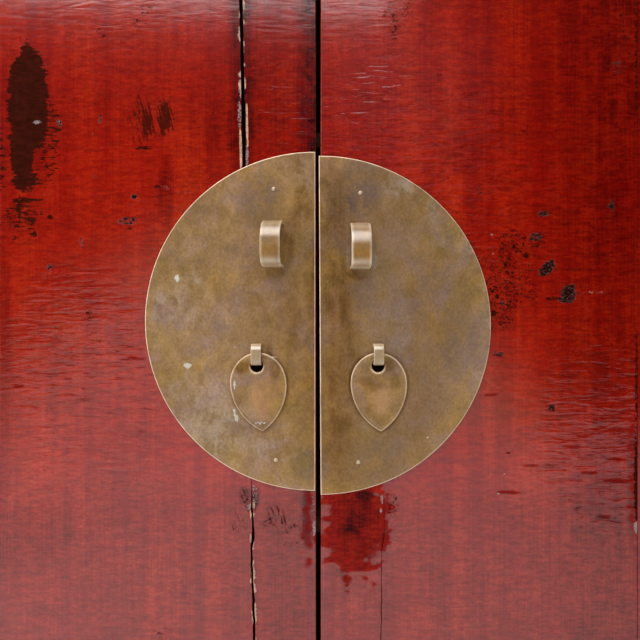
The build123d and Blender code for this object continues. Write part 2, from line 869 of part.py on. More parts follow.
for end, end_name in END_NAMES.items():
    keep(make_top_long_member(end), f"top_{end_name}_member")
keep(make_top_panel(), "top_panel")

head_lip_z = (head_z - STOP_LIP_H, head_z)
sill_lip_z = (SILL_TOP_Z, SILL_TOP_Z + STOP_LIP_H)
upper_socket_z = (head_z, door_z[1] + UPPER_PINTLE_L + PINTLE_END_GAP)
lower_socket_z = (door_z[0] - LOWER_PINTLE_L - PINTLE_END_GAP, SILL_TOP_Z)
keep(make_door_rail_of_case(rail_z("upper"), head_lip_z, upper_socket_z), "head_rail")
keep(make_door_rail_of_case(sill_range, sill_lip_z, lower_socket_z), "door_sill_rail")
keep(make_bottom_rail(), "bottom_rail")
keep(make_muntin(FRONT, RAIL_D, (bottom_rail_top_z, sill_z)), "skirt_muntin")
keep(make_front_apron(), "front_apron")
keep(make_back_rail("upper"), "back_upper_rail")
keep(make_back_rail("lower"), "back_lower_rail")
keep(make_muntin(BACK, BACK_RAIL_D, (bottom_rail_top_z, head_z)), "back_muntin")
for side, side_name in SIDE_NAMES.items():
    with BuildPart() as skirt_panel:
        skirt_panel_slab(side, TONGUE)
    keep(skirt_panel, f"{side_name}_skirt_panel")
    with BuildPart() as back_panel:
        back_panel_slab(side, TONGUE)
    keep(back_panel, f"{side_name}_back_panel")
keep(make_floor_board(), "floor_board")
for shelf_name, top_z in zip(("lower_shelf", "upper_shelf"), SHELF_TOP_Z):
    keep(make_shelf(top_z), shelf_name)

for side, side_name in SIDE_NAMES.items():
    keep(make_meeting_stile(side), f"{side_name}_meeting_stile")
    keep(make_hinge_stile(side), f"{side_name}_hinge_stile")
    keep(make_door_rail(side, "upper"), f"{side_name}_door_upper_rail")
    keep(make_door_rail(side, "lower"), f"{side_name}_door_lower_rail")
    keep(make_door_panel(side), f"{side_name}_door_panel")
    for batten_name, z in zip(("lower_batten", "upper_batten"), BATTEN_Z):
        keep(make_batten(side, z), f"{side_name}_door_{batten_name}")
    keep(make_half_plate(side), f"{side_name}_half_plate")
    keep(make_nails(side), f"{side_name}_plate_nails")
    keep(make_lock_loop(side), f"{side_name}_lock_loop")
    keep(make_pull_staple(side), f"{side_name}_pull_staple")
    keep(make_pull(side), f"{side_name}_pull")
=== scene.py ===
import json
import math

import bpy
import numpy as np
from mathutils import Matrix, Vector


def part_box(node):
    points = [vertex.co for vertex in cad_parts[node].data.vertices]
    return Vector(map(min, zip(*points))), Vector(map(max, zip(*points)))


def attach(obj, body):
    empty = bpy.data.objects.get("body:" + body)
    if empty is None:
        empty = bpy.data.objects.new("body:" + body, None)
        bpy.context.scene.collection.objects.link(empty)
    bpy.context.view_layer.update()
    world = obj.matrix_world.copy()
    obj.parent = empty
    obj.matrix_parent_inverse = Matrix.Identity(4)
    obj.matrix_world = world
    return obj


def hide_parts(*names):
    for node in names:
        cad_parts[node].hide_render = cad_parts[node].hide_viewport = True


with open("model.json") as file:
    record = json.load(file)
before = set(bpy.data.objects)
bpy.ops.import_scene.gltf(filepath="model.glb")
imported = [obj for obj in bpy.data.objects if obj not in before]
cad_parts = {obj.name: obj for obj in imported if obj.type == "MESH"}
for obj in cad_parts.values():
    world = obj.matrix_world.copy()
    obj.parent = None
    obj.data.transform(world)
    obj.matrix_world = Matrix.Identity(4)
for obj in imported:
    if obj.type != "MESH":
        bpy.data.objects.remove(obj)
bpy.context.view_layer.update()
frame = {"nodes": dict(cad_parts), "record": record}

# A red lacquered cabinet with a round brass face plate. Everything is in metres, in the part's
# own frame: the doors face -Y, X is to the right and Z is up.

MM = 0.001
LEFT, RIGHT = -1, 1
SIDE_NAMES = {LEFT: "left", RIGHT: "right"}


def mm(*sizes):
    """Sizes given in millimetres."""
    return [size * MM for size in sizes]


def named(side, what):
    return f"{SIDE_NAMES[side]}_{what}"


# ---- sizes read from the frame ----
def node_box(side, name):
    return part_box(named(side, name))


stile_low, stile_high = node_box(LEFT, "meeting_stile")
panel_low, panel_high = node_box(LEFT, "door_panel")
plate_low, plate_high = node_box(LEFT, "half_plate")
door_front_y = stile_low.y
door_back_y = stile_high.y
PANEL_T = 12 * MM
panel_back_y = door_front_y + PANEL_T
plate_front_y = plate_low.y
medallion_r = (plate_high.z - plate_low.z) / 2
plate_z = (plate_high.z + plate_low.z) / 2
TONGUE = 6 * MM  # the CAD panel's edge that lies hidden in the grooves
panel_z = (panel_low.z + TONGUE, panel_high.z - TONGUE)
door_z = (stile_low.z, stile_high.z)
hinge_joint_x = abs(panel_low.x) - TONGUE
meeting_x = abs(stile_high.x)
JOINT_X = {LEFT: 83.5 * MM, RIGHT: 82.0 * MM}  # stile and panel joint at the plate's height
JOINT_LEAN = 0.021

VIEW_Z = (0.66, 1.45)  # the height where boards get the finest mesh
FINE_ROW, COARSE_ROW, COLUMN = mm(1.4, 4, 2.4)  # mesh steps of a board

# ---- sizes of the brass ----
PLATE_BEVEL, PLATE_DENT = mm(0.7, 0.22)
ARC_POINTS, EDGE_POINTS = 180, 90  # along the arc and the straight edge of a half plate
PLATE_EDGE_X = {LEFT: plate_high.x, RIGHT: 1.6 * MM}
PLATE_EDGE_LEAN = {LEFT: 0.0, RIGHT: -0.0055}
STRAP_T, STRAP_CORNER, STRAP_CROWN, STRAP_SUNK = mm(2.8, 0.75, 0.12, 0.2)
TONGUE_CLINCH, TONGUE_BEND = mm(12, 1.6)
# x, z, (width, height, how far it stands out), bend radius at top and bottom, tongue width,
# how much x leans as it stands out, how worn, how faded
STRAPS = {
    "left_loop_strap": (*mm(-52, 1145.6), mm(23, 54, 30), mm(24, 15), 10 * MM, -0.11, 0.5, 0.0),
    "right_loop_strap": (*mm(49, 1143.7), mm(23, 54, 30), mm(30, 14), 10 * MM, 0.02, 0.75, 0.0),
    "left_staple_strap": (*mm(-72.4, 1016.2), mm(12, 25, 16), mm(9, 9), 6 * MM, 0.0, 0.25, 0.14),
    "right_staple_strap": (*mm(70.4, 1016.2), mm(12, 25, 16), mm(9, 9), 6 * MM, 0.0, 0.25, 0.14),
}
PULL_HALF_W, PULL_SHOULDER, PULL_H = mm(33.3, 36, 93)
PULL_HOLE_R, PULL_HOLE_DROP, PULL_PLAY = mm(7.5, 15.5, 0.3)
PULL_TILT = {LEFT: 5.2, RIGHT: 2.6}  # degrees
NAIL_HEAD_R, NAIL_HEAD_H, NAIL_SHANK_R, NAIL_L = mm(2.6, 1.2, 1.1, 16)
NAIL_POINTS = 28  # round a nail
NAIL_PLACES = {
    LEFT: (mm(-52.7, 1211.2), mm(-49.9, 891.4)),
    RIGHT: (mm(49.6, 1206.5), mm(47.3, 888.6)),
}


# ---- smooth random fields for the relief of boards and sheets ----
def value_noise(u, v, seed):
    """Smooth noise from 0 to 1; one lattice cell is one unit of u and v."""
    table = np.random.default_rng(seed).random((256, 256))
    iu, iv = np.floor(u).astype(int), np.floor(v).astype(int)
    fu, fv = u - iu, v - iv
    fu, fv = fu * fu * (3 - 2 * fu), fv * fv * (3 - 2 * fv)
    a, b = table[iu % 256, iv % 256], table[(iu + 1) % 256, iv % 256]
    c, d = table[iu % 256, (iv + 1) % 256], table[(iu + 1) % 256, (iv + 1) % 256]
    return (a * (1 - fu) + b * fu) * (1 - fv) + (c * (1 - fu) + d * fu) * fv


def layered_noise(u, v, seed, layers=4):
    total, weight = 0.0, 0.0
    for layer in range(layers):
        share = 0.5**layer
        total = total + share * value_noise(u * 2**layer, v * 2**layer, seed + layer)
        weight += share
    return total / weight


def ramp(value, low, high):
    t = np.clip((value - low) / (high - low), 0, 1)
    return t * t * (3 - 2 * t)


# ---- meshes ----
def link(name, data):
    """A new object in the scene."""
    thing = bpy.data.objects.new(name, data)
    bpy.context.scene.collection.objects.link(thing)
    return thing


def points_at(x, y, z):
    """Points from their coordinates, each an array or one number."""
    return np.stack(np.broadcast_arrays(x, y, z), -1)


def make_object(name, vertices, faces, material, marks, flat_from=None):
    """Mesh object with its marks, a number for each vertex that the material reads by name.
    Faces from number flat_from on stay flat, and sharp corners stay sharp."""
    mesh = bpy.data.meshes.new(name)
    mesh.from_pydata(vertices.tolist(), [], faces)
    smooth = np.arange(len(faces)) < (flat_from or len(faces))
    mesh.polygons.foreach_set("use_smooth", smooth)
    mesh.set_sharp_from_angle(angle=math.radians(38))
    mesh.materials.append(material)
    mesh.validate()
    mesh.update()
    for key, values in marks.items():
        layer = mesh.attributes.new(key, "FLOAT", "POINT")
        layer.data.foreach_set("value", np.asarray(values, np.float32))
    return link(name, mesh)


def grid_faces(index):
    """Faces between the vertices of a grid, given by their numbers."""
    a, b = index[:-1, :-1], index[:-1, 1:]
    c, d = index[1:, 1:], index[1:, :-1]
    return np.stack([a, b, c, d], -1).reshape(-1, 4).tolist()


def skin(rings, closed=False):
    """Vertices and faces of a surface through rings of points; open ends are capped."""
    count = len(rings[0])
    faces = []
    around = np.arange(count)
    for k in range(len(rings) if closed else len(rings) - 1):
        here, there = k * count + around, (k + 1) % len(rings) * count + around
        quads = [here, np.roll(here, -1), np.roll(there, -1), there]
        faces += np.stack(quads, -1).tolist()
    if not closed:
        faces.append(around[::-1].tolist())
        faces.append((around + (len(rings) - 1) * count).tolist())
    return np.concatenate(rings), faces


def merge(parts):
    """One vertex array and face list from several."""
    vertices, faces, start = [], [], 0
    for part_vertices, part_faces in parts:
        vertices.append(part_vertices)
        faces += [[start + i for i in face] for face in part_faces]
        start += len(part_vertices)
    return np.concatenate(vertices), faces


# ---- shader nodes ----
class Nodes:
    """A node tree. Each method adds nodes and gives an output socket."""

    def __init__(self, tree):
        self.tree = tree

    def add(self, kind, inputs=None, **settings):
        node = self.tree.nodes.new("ShaderNode" + kind)
        for key, value in settings.items():
            setattr(node, key, value)
        for key, value in (inputs or {}).items():
            self.feed(node.inputs[key], value)
        return node

    def feed(self, socket, value):
        if isinstance(value, bpy.types.NodeSocket):
            self.tree.links.new(value, socket)
        elif isinstance(value, tuple) and len(value) == 3 and socket.type == "RGBA":
            socket.default_value = (*value, 1.0)
        else:
            socket.default_value = value

    def math(self, operation, a, b=0.0, c=0.0):
        return self.add("Math", {0: a, 1: b, 2: c}, operation=operation).outputs[0]

    def times(self, a, b):
        return self.math("MULTIPLY", a, b)

    def plus(self, a, b):
        return self.math("ADD", a, b)

    def less(self, a, b):
        """a times what b leaves of 1."""
        return self.times(a, self.math("SUBTRACT", 1.0, b))

    def total(self, *shares):
        """The sum of values, each times its share."""
        result = self.times(*shares[0])
        for value, share in shares[1:]:
            result = self.math("MULTIPLY_ADD", value, share, result)
        return result

    def most(self, first, *others):
        for other in others:
            first = self.math("MAXIMUM", first, other)
        return first

    def vector(self, operation, a, b, c):
        return self.add("VectorMath", {0: a, 1: b, 2: c}, operation=operation).outputs[0]

    def combine(self, x, y, z):
        return self.add("CombineXYZ", {0: x, 1: y, 2: z}).outputs[0]

    def scaled(self, frequency, shift=0.0, place=None):
        across, up = frequency
        shifts = (shift, 1.7 * shift, 2.3 * shift)
        return self.vector("MULTIPLY_ADD", place or self.place, (across, across, up), shifts)

    def noise(self, frequency, detail=3.0, rough=0.5, distortion=0.0, shift=0.0, place=None):
        """Noise from 0 to 1 with so many waves per metre across, along X and Y, and up Z."""
        inputs = {"Vector": self.scaled(frequency, shift, place), "Scale": 1.0}
        inputs |= {"Detail": detail, "Roughness": rough, "Distortion": distortion}
        return self.add("TexNoise", inputs).outputs["Fac"]

    def cells(self, frequency, feature="F1", output="Distance", shift=0.0, warp=0.0):
        where = self.scaled(frequency, shift)
        if warp:
            bend = self.add("TexNoise", {"Vector": where, "Scale": 0.7}).outputs["Color"]
            where = self.vector("MULTIPLY_ADD", bend, (warp, warp, warp), where)
        node = self.add("TexVoronoi", {"Vector": where, "Scale": 1.0}, feature=feature)
        return node.outputs[output]

    def ramp(self, value, low, high, to_low=0.0, to_high=1.0):
        """Smooth step of value between low and high, on to the range to_low..to_high."""
        inputs = {"Value": value, 1: low, 2: high, 3: to_low, 4: to_high}
        return self.add("MapRange", inputs, interpolation_type="SMOOTHSTEP").outputs[0]

    def mark(self, name):
        """A number stored on the vertices."""
        return self.add("Attribute", attribute_name=name).outputs["Fac"]

    def ragged(self, mark, texture, swing, low, high):
        """A mark, its outline broken up by a texture: 0 outside, 1 inside."""
        broken = self.math("MULTIPLY_ADD", self.plus(texture, -0.5), swing, mark)
        return self.ramp(broken, low, high)

    def ridges(self, texture, width):
        """Thin lines where a texture passes its middle value."""
        return self.ramp(self.math("ABSOLUTE", self.plus(texture, -0.5)), width, 0.0)

    def mix(self, factor, a, b, blend="MIX"):
        inputs = {"Factor": factor, "A": a, "B": b}
        return self.add("Mix", inputs, data_type="RGBA", blend_type=blend).outputs["Result"]

    def tint(self, colour, by):
        """The colour times another colour."""
        return self.mix(1.0, colour, by, "MULTIPLY")

    def shade(self, factor, colour):
        """The colour times a number."""
        return self.add("VectorMath", {0: colour, "Scale": factor}, operation="SCALE").outputs[0]

    def mottled(self, colour, texture, low, high, dark, light):
        """The colour, from dark to light as a texture goes from low to high."""
        return self.shade(self.ramp(texture, low, high, dark, light), colour)

    def bump(self, height):
        """Relief from a height in millimetres."""
        inputs = {"Height": height, "Distance": MM, "Strength": 1.0}
        return self.add("Bump", inputs).outputs["Normal"]


class Shader(Nodes):
    """The node tree of one material, in the part's own coordinates."""

    def __init__(self, name):
        self.material = bpy.data.materials.new(name)
        self.material.use_nodes = True
        super().__init__(self.material.node_tree)
        self.place = self.add("TexCoord").outputs["Object"]
        self.x, self.y, self.z = self.add("SeparateXYZ", {"Vector": self.place}).outputs

    def finish(self, **values):
        surface = self.tree.nodes["Principled BSDF"]
        for name, value in values.items():
            self.feed(surface.inputs[name.replace("_", " ")], value)
        return self.material


def spots(n, frequency, size, share, shift):
    """Scattered round spots: 1 inside, 0 outside. share of the cells hold one."""
    near = n.cells(frequency, shift=shift)
    chosen = n.cells(frequency, output="Color", shift=shift)
    lucky = n.math("LESS_THAN", n.add("SeparateColor", {0: chosen}).outputs[0], share)
    return n.times(n.ramp(near, size, size * 0.6), lucky)


def wood_colour(n, dark, pale, shift):
    """Fine-grained wood along Z: fibres, growth bands and dust."""
    fibres = n.noise((520, 14), 4, 0.6, shift=shift)
    rings = n.noise((38, 1.1), 3, 0.55, 0.8, shift + 4)
    clouds = n.noise((9, 5), 3, shift=shift + 9)
    colour = n.mix(n.ramp(rings, 0.32, 0.66), dark, pale)
    colour = n.mottled(colour, fibres, 0.25, 0.75, 0.72, 1.12)
    return n.mottled(colour, clouds, 0.3, 0.7, 0.8, 1.1), fibres


def make_bare_wood(name, dark, pale, along="z", shift=0.0):
    n = Shader(name)
    if along == "x":
        n.place = n.combine(n.z, n.y, n.x)
    colour, fibres = wood_colour(n, dark, pale, shift)
    saw = n.noise((30, 420), 2, 0.4, shift=shift + 2)
    return n.finish(
        Base_Color=colour,
        Roughness=n.ramp(fibres, 0.2, 0.8, 0.78, 0.62),
        Normal=n.bump(n.total((fibres, 0.25), (saw, 0.12))),
        Specular_IOR_Level=0.15,
    )


BROWN = (0.295, 0.172, 0.078)
TAN = (0.385, 0.24, 0.122)
OLIVE = (0.26, 0.18, 0.062)
OCHRE = (0.48, 0.26, 0.062)
VIOLET = (0.29, 0.195, 0.15)
LILAC = (0.42, 0.34, 0.29)
COPPER = (0.62, 0.3, 0.15)
GOLDEN_DIRT_AND_SHADE = (0.45, 0.3, 0.02)  # what a full coat of dirt and painted shade leaves of the brass colour
VERDIGRIS = (0.54, 0.53, 0.44)
FILM = (0.15, 0.1, 0.085)
RUBBED = (0.84, 0.63, 0.45)
RUBBED_STRAP = (0.8, 0.68, 0.48)
GROUND = (0.031, 0.0036, 0.0013)  # dark under-coat where the red is gone
CRACK = (0.004, 0.002, 0.0015)
PALE_WOOD = (0.5, 0.31, 0.2)
CHALK = (0.3, 0.24, 0.23)
FAR_TONE = 0.5  # how much darker the right door is toward its hinges


def darker_ends(n):
    """How much darker the doors are: painted shade toward top and bottom, and darker toward the
    hinges on the right.
    """
    ends = n.most(n.ramp(n.z, 0.89, 0.82, 0.0, 0.27), n.ramp(n.z, 1.24, 1.31, 0.0, 0.18))
    far = n.times(n.ramp(n.x, 0.235, 0.345, 0.0, FAR_TONE), n.ramp(n.z, 0.95, 1.15, 0.65, 1.0))
    return n.plus(ends, n.less(far, ends))


def outside_marks(n):
    """1 outside the middle of the doors, which has its own table of marks."""
    aside = n.ramp(n.math("ABSOLUTE", n.x), 0.374, 0.384)
    return n.most(aside, n.ramp(n.z, 0.8, 0.74), n.ramp(n.z, 1.32, 1.38))


def make_lacquer(name, thick, thin, coat_roughness=0.12, coat_ior=1.75, back_y=None):
    """Aged lacquer: streaks, clouds, fine horizontal wrinkles, crackle, chips and lost patches.
    Behind back_y a door's board is bare wood."""
    n = Shader(name)
    on_door = back_y is not None
    plain = outside_marks(n) if on_door else 1.0
    streaks = n.noise((430, 9), 3, 0.6, shift=3)
    bands = n.noise((40, 1.8), 3, 0.6, shift=5)
    clouds = n.noise((8, 5), 4, 0.6, 0.4, 8)
    wrinkles = n.noise((30, 160), 2, 0.4, 0.9, 11)
    scaly = n.noise((120, 330), 4, 0.62, 0.5, 13)
    dashes = n.noise((60, 420), 2, 0.55, 0.4, 37)
    grit = n.noise((800, 800), 2, 0.6, shift=17)
    edge = n.noise((190, 420), 4, 0.75, 0.3, 19)
    speckle = n.noise((520, 760), 3, 0.7, shift=27)
    leaning = n.combine(n.math("MULTIPLY_ADD", n.z, 0.25, n.x), n.y, n.z)
    brush = n.noise((360, 46), 5, 0.72, 0.6, 43, leaning)
    cracks = n.cells((210, 280), "DISTANCE_TO_EDGE", shift=21, warp=1.6)
    blot = n.noise((42, 34), 4, 0.65, 0.8, 47)
    fleck = n.noise((260, 330), 3, 0.62, 0.3, 51)
    folds = n.noise((36, 130), 3, 0.5, 0.8, 57)

    colour = n.mix(n.ramp(clouds, 0.33, 0.68), thick, thin)
    for texture, low, high, dark, light in (
        (bands, 0.3, 0.7, 0.8, 1.12),
        (streaks, 0.25, 0.75, 0.88, 1.08),
        (scaly, 0.25, 0.72, 0.79, 1.12),
        (wrinkles, 0.28, 0.62, 0.84, 1.07),
        (grit, 0.3, 0.7, 0.88, 1.09),
    ):
        colour = n.mottled(colour, texture, low, high, dark, light)
    # thinner lacquer is more orange, in columns and in grains
    columns = n.ramp(n.total((bands, 0.5), (scaly, 0.5)), 0.4, 0.62)
    colour = n.tint(colour, n.mix(columns, (1.0, 0.75, 0.8), (1.0, 1.9, 1.2)))
    grains = n.ramp(speckle, 0.35, 0.65)
    colour = n.tint(colour, n.mix(grains, (0.94, 0.7, 0.7), (1.04, 1.3, 1.2)))
    rippled = n.ramp(n.math("MULTIPLY_ADD", clouds, 0.7, n.mark("wrinkled")), 0.25, 0.95)
    dash = n.times(n.ramp(dashes, 0.6, 0.7), rippled)
    colour = n.mix(n.times(dash, 0.6), colour, n.shade(0.45, colour))
    # painted shade in the valleys of the folds
    fold_valley_shade = n.times(n.ramp(folds, 0.5, 0.36), rippled)
    colour = n.mix(n.times(fold_valley_shade, 0.35), colour, n.shade(0.4, colour))
    if on_door:
        tone = n.mark("tone")
        # darker_ends adds painted shade toward the top and bottom of the doors
        tone = n.plus(tone, n.less(darker_ends(n), tone))
    else:
        tone = n.ramp(n.z, 0.22, 0.0, 0.0, 0.5)
    broken = n.total((blot, 0.5), (scaly, 0.25), (streaks, 0.25))
    tone = n.math("MINIMUM", n.times(tone, n.ramp(broken, 0.35, 0.6, 1.25, 0.7)), 0.97)
    colour = n.mix(tone, colour, n.tint(colour, (0.04, 0.0, 0.0)))
    colour = n.tint(colour, n.mix(tone, (1.0, 1.0, 1.0), (1.0, 0.0, 0.0)))

    # fine black crackle, only where the board carries it
    lines = n.times(n.ramp(cracks, 0.09, 0.03), n.ramp(edge, 0.46, 0.54))
    flecks = n.most(n.ramp(fleck, 0.56, 0.61), lines)
    crazed = n.most(n.mark("crackle"), n.times(n.ramp(clouds, 0.54, 0.64, 0.0, 0.42), plain))
    crackle = n.times(flecks, n.ragged(crazed, blot, 2.2, 0.4, 0.65))
    colour = n.mix(n.times(crackle, 0.94), colour, CRACK)
    # dark ground: big lost patches with torn edges, brushed strokes, chips
    rubbed_away = n.mark("lost") if on_door else n.ramp(n.z, 0.15, 0.0, 0.0, 0.6)
    lost = n.ragged(rubbed_away, n.total((edge, 0.55), (dashes, 0.45)), 2.6, 0.46, 0.54)
    brushed = n.total((brush, 0.75), (edge, 0.25))
    strokes = n.ragged(n.mark("strokes"), brushed, 3.8, 0.58, 0.66)
    scattered = n.times(spots(n, (17, 21), 0.22, 0.1, 71), n.ramp(bands, 0.45, 0.6, 0.0, 0.62))
    chips = n.most(n.mark("chips"), n.times(scattered, plain))
    chips = n.math("MULTIPLY_ADD", n.plus(edge, -0.5), 2.4, chips)
    chipped = n.ramp(chips, 0.44, 0.54)
    ground = n.mix(n.ramp(streaks, 0.6, 0.8), GROUND, n.shade(1.8, GROUND))
    ground = n.mottled(ground, scaly, 0.3, 0.7, 0.75, 1.3)
    patch = n.most(lost, n.times(strokes, 0.9), chipped)
    colour = n.mix(patch, colour, n.mix(chipped, ground, n.shade(0.45, ground)))
    # painted glints along chip edges, pale lines inside chips, chalky dirt in spots, bare wood,
    # black cracks
    outline = n.less(n.ramp(chips, 0.47, 0.53), n.ramp(chips, 0.56, 0.64))
    outline = n.most(outline, n.times(chipped, n.ramp(cracks, 0.06, 0.02)))
    outline = n.times(outline, n.ramp(speckle, 0.46, 0.55, 0.0, 0.24))
    chalk = n.most(n.ragged(n.mark("chalk"), speckle, 2.2, 0.54, 0.64), outline)
    colour = n.mix(n.times(chalk, 0.85), colour, n.mottled(CHALK, grit, 0.3, 0.7, 0.5, 1.3))
    bare = n.ragged(n.mark("bare"), edge, 0.8, 0.42, 0.54)
    bare = n.times(bare, n.ramp(speckle, 0.32, 0.44))
    colour = n.mix(bare, colour, n.mottled(PALE_WOOD, scaly, 0.3, 0.7, 0.7, 1.15))
    crack = n.ragged(n.mark("crack"), speckle, 0.5, 0.4, 0.6)
    colour = n.mix(crack, colour, CRACK)

    worn = n.most(patch, bare, crack, chalk)
    patchy = n.total((blot, 0.45), (scaly, 0.3), (streaks, 0.25))
    dull = n.ragged(n.mark("dull"), patchy, 3.0, 0.25, 0.9)
    rough = n.plus(n.ramp(clouds, 0.3, 0.7, 0.42, 0.52), n.times(worn, 0.3))
    coat = n.ramp(n.total((speckle, 0.5), (scaly, 0.5)), 0.38, 0.6, 0.86, 1.0)
    for share, mark in ((0.99, worn), (0.7, dash), (0.9, dull), (0.8, crackle), (0.35, tone)):
        coat = n.less(coat, n.times(mark, share))
    ripple = n.times(wrinkles, n.math("MULTIPLY_ADD", rippled, 0.33, 0.03))
    fold = n.times(n.ridges(folds, 0.16), n.math("MULTIPLY_ADD", rippled, 0.85, 0.15))
    torn = n.times(n.plus(grit, -0.5), n.plus(worn, 0.05))
    height = n.total((ripple, 1.0), (streaks, 0.01), (scaly, 0.022), (fold, 0.022))
    height = n.total((height, 1.0), (dash, -0.012), (chipped, -0.04), (crack, -0.1), (torn, 0.08))
    if on_door:
        wood, fibres = wood_colour(n, (0.13, 0.07, 0.04), (0.27, 0.165, 0.095), 31)
        behind = n.math("GREATER_THAN", n.y, back_y)
        colour = n.mix(behind, colour, wood)
        rough = n.plus(rough, n.times(behind, 0.25))
        coat = n.less(coat, behind)
        height = n.plus(n.less(height, behind), n.times(n.times(fibres, 0.2), behind))
    # the clear coat fills the finest relief
    relief = n.total((height, 1.0), (fold, 0.1), (scaly, 0.05), (dash, -0.06))
    return n.finish(
        Base_Color=colour,
        Roughness=rough,
        Normal=n.bump(relief),
        Coat_Weight=coat,
        Coat_Roughness=coat_roughness,
        Coat_IOR=coat_ior,
        Coat_Normal=n.bump(height),
        Specular_IOR_Level=0.02,
    )


def make_brass(
    name, bright=(1.0, 1.0, 1.0), worn=RUBBED, shift=0.0, metallic=0.55, coat=0.0, coat_ior=1.5
):
    """Old brass: brown, ochre, olive and violet-grey patina in clouds, rubbed bright at rims."""
    n = Shader(name)
    clouds = n.noise((9, 8), 4, 0.6, 0.5, shift + 1)
    ochre = n.noise((18, 15), 5, 0.7, 0.5, shift + 5)
    violet = n.noise((20, 17), 5, 0.7, 0.7, shift + 9)
    olive = n.noise((11, 13), 4, 0.6, 0.5, shift + 25)
    drips = n.noise((85, 9), 3, 0.6, 0.3, shift + 33)
    blotches = n.noise((70, 52), 4, 0.66, 0.4, shift + 13)
    specks = n.noise((330, 290), 3, 0.65, 0.0, shift + 17)
    grain = n.noise((900, 900), 1, 0.5, 0.0, shift + 29)

    colour = n.mix(n.ramp(clouds, 0.3, 0.7), BROWN, TAN)
    for texture, low, high, share, patina in (
        (olive, 0.48, 0.66, 0.42, OLIVE),
        (ochre, 0.5, 0.64, 0.34, OCHRE),
        (violet, 0.5, 0.64, 0.37, VIOLET),
    ):
        colour = n.mix(n.ramp(texture, low, high, 0.0, share), colour, patina)
    cool = n.mix(n.ramp(violet, 0.38, 0.62), (1.0, 0.98, 0.78), (1.0, 1.0, 1.2))
    colour = n.tint(colour, cool)
    lilac = n.times(n.mark("lilac"), n.ramp(blotches, 0.35, 0.6))
    colour = n.mix(lilac, colour, LILAC)
    film = n.times(n.mark("film"), n.ramp(blotches, 0.36, 0.62, 0.35, 1.65))
    colour = n.mix(film, colour, FILM)
    for texture, dark, light in ((blotches, 0.83, 1.14), (specks, 0.83, 1.15), (grain, 0.94, 1.06)):
        colour = n.mottled(colour, texture, 0.25, 0.75, dark, light)
    # darker and yellower with dirt and with painted shade, both carried by the patina mark
    uneven = n.total((blotches, 0.45), (drips, 0.55))
    dirt_and_shade = n.times(n.mark("patina"), n.ramp(uneven, 0.32, 0.66, 1.15, 0.75))
    dirt_and_shade = n.math("MINIMUM", dirt_and_shade, 0.98)
    colour = n.mix(dirt_and_shade, colour, n.tint(colour, GOLDEN_DIRT_AND_SHADE))
    colour = n.mottled(colour, dirt_and_shade, 0.45, 0.98, 1.0, 0.62)
    # painted shade: black, with almost no reflection, where the patina mark is strongest, on the
    # plate behind the pulls' holes
    black = n.ramp(n.mark("patina"), 1.2, 1.8)
    colour = n.mix(black, colour, CRACK)
    warm = n.times(n.mark("warm"), n.ramp(blotches, 0.2, 0.6, 0.4, 1.0))
    colour = n.mix(warm, colour, COPPER)
    paint = n.ragged(n.mark("paint"), specks, 1.0, 0.42, 0.6)
    colour = n.mix(n.times(paint, 0.8), colour, n.mottled(VERDIGRIS, grain, 0.3, 0.7, 0.7, 1.2))
    colour = n.tint(colour, bright)
    rubbed = n.times(n.mark("rubbed"), n.ramp(blotches, 0.2, 0.6, 0.5, 1.0))
    colour = n.mix(rubbed, colour, worn)

    rough = n.ramp(blotches, 0.3, 0.7, 0.34, 0.42)
    rough = n.total((rough, 1.0), (rubbed, -0.06), (paint, 0.25), (dirt_and_shade, 0.25))
    return n.finish(
        Base_Color=colour,
        Metallic=n.most(n.less(metallic, paint), black),
        Roughness=rough,
        Normal=n.bump(n.total((blotches, 0.03), (specks, 0.012), (paint, 0.12))),
        Specular_IOR_Level=0.2,
        Coat_Weight=n.times(n.mark("shine"), coat) if coat else 0.0,
        Coat_Roughness=0.31,
        Coat_IOR=coat_ior,
    )


# ---- marks of age on the doors, and a little painted shadow, as (x, z, half width, half height, strength) in mm ----
LOST = (
    (-343, 1314, 22, 66, 1.35), (-350, 1256, 13, 44, 1.3), (-347, 1222, 18, 16, 0.62),
    (-318, 1272, 15, 58, 0.47), (-375, 1246, 8, 50, 0.45), (-333, 1228, 24, 16, 0.38),
    (-350, 1180, 24, 22, 0.48), (-350, 1150, 20, 8, 0.34), (-317, 1178, 3.5, 3.0, 0.9),
    (-344, 1199, 24, 1.8, 0.75), (-354, 1187, 2.2, 18, 0.72), (-336, 1157, 5, 4, 0.7),
    (-206, 1260, 14, 4, 0.5), (-222, 1172, 16, 9, 0.38), (-191, 1206, 8, 16, 0.36),
    (-270, 1062, 6, 8, 0.5), (245.5, 1132, 3.0, 3.2, 1.1), (279, 1082, 14, 3, 0.6),
    (252, 1084, 10, 3, 0.5), (211, 1083.7, 3, 3.5, 0.9), (207.7, 1064.8, 3, 4, 0.9),
    (224, 900, 4, 2.5, 0.6), (352, 1284, 6, 40, 0.2), (376, 870, 3, 56, 0.8),
    (376, 990, 2, 60, 0.6), (376, 1400, 2, 130, 0.5),
)
STROKES = (
    (-212, 1292, 16, 38, 0.52), (-190, 1292, 18, 34, 0.46), (-176, 1296, 14, 24, 0.42),
    (-306, 1290, 4, 16, 0.5), (-118, 1298, 12, 14, 0.36), (-52, 824, 24, 18, 0.4),
    (-97, 818, 14, 12, 0.38), (-88, 848, 8, 12, 0.48),
)
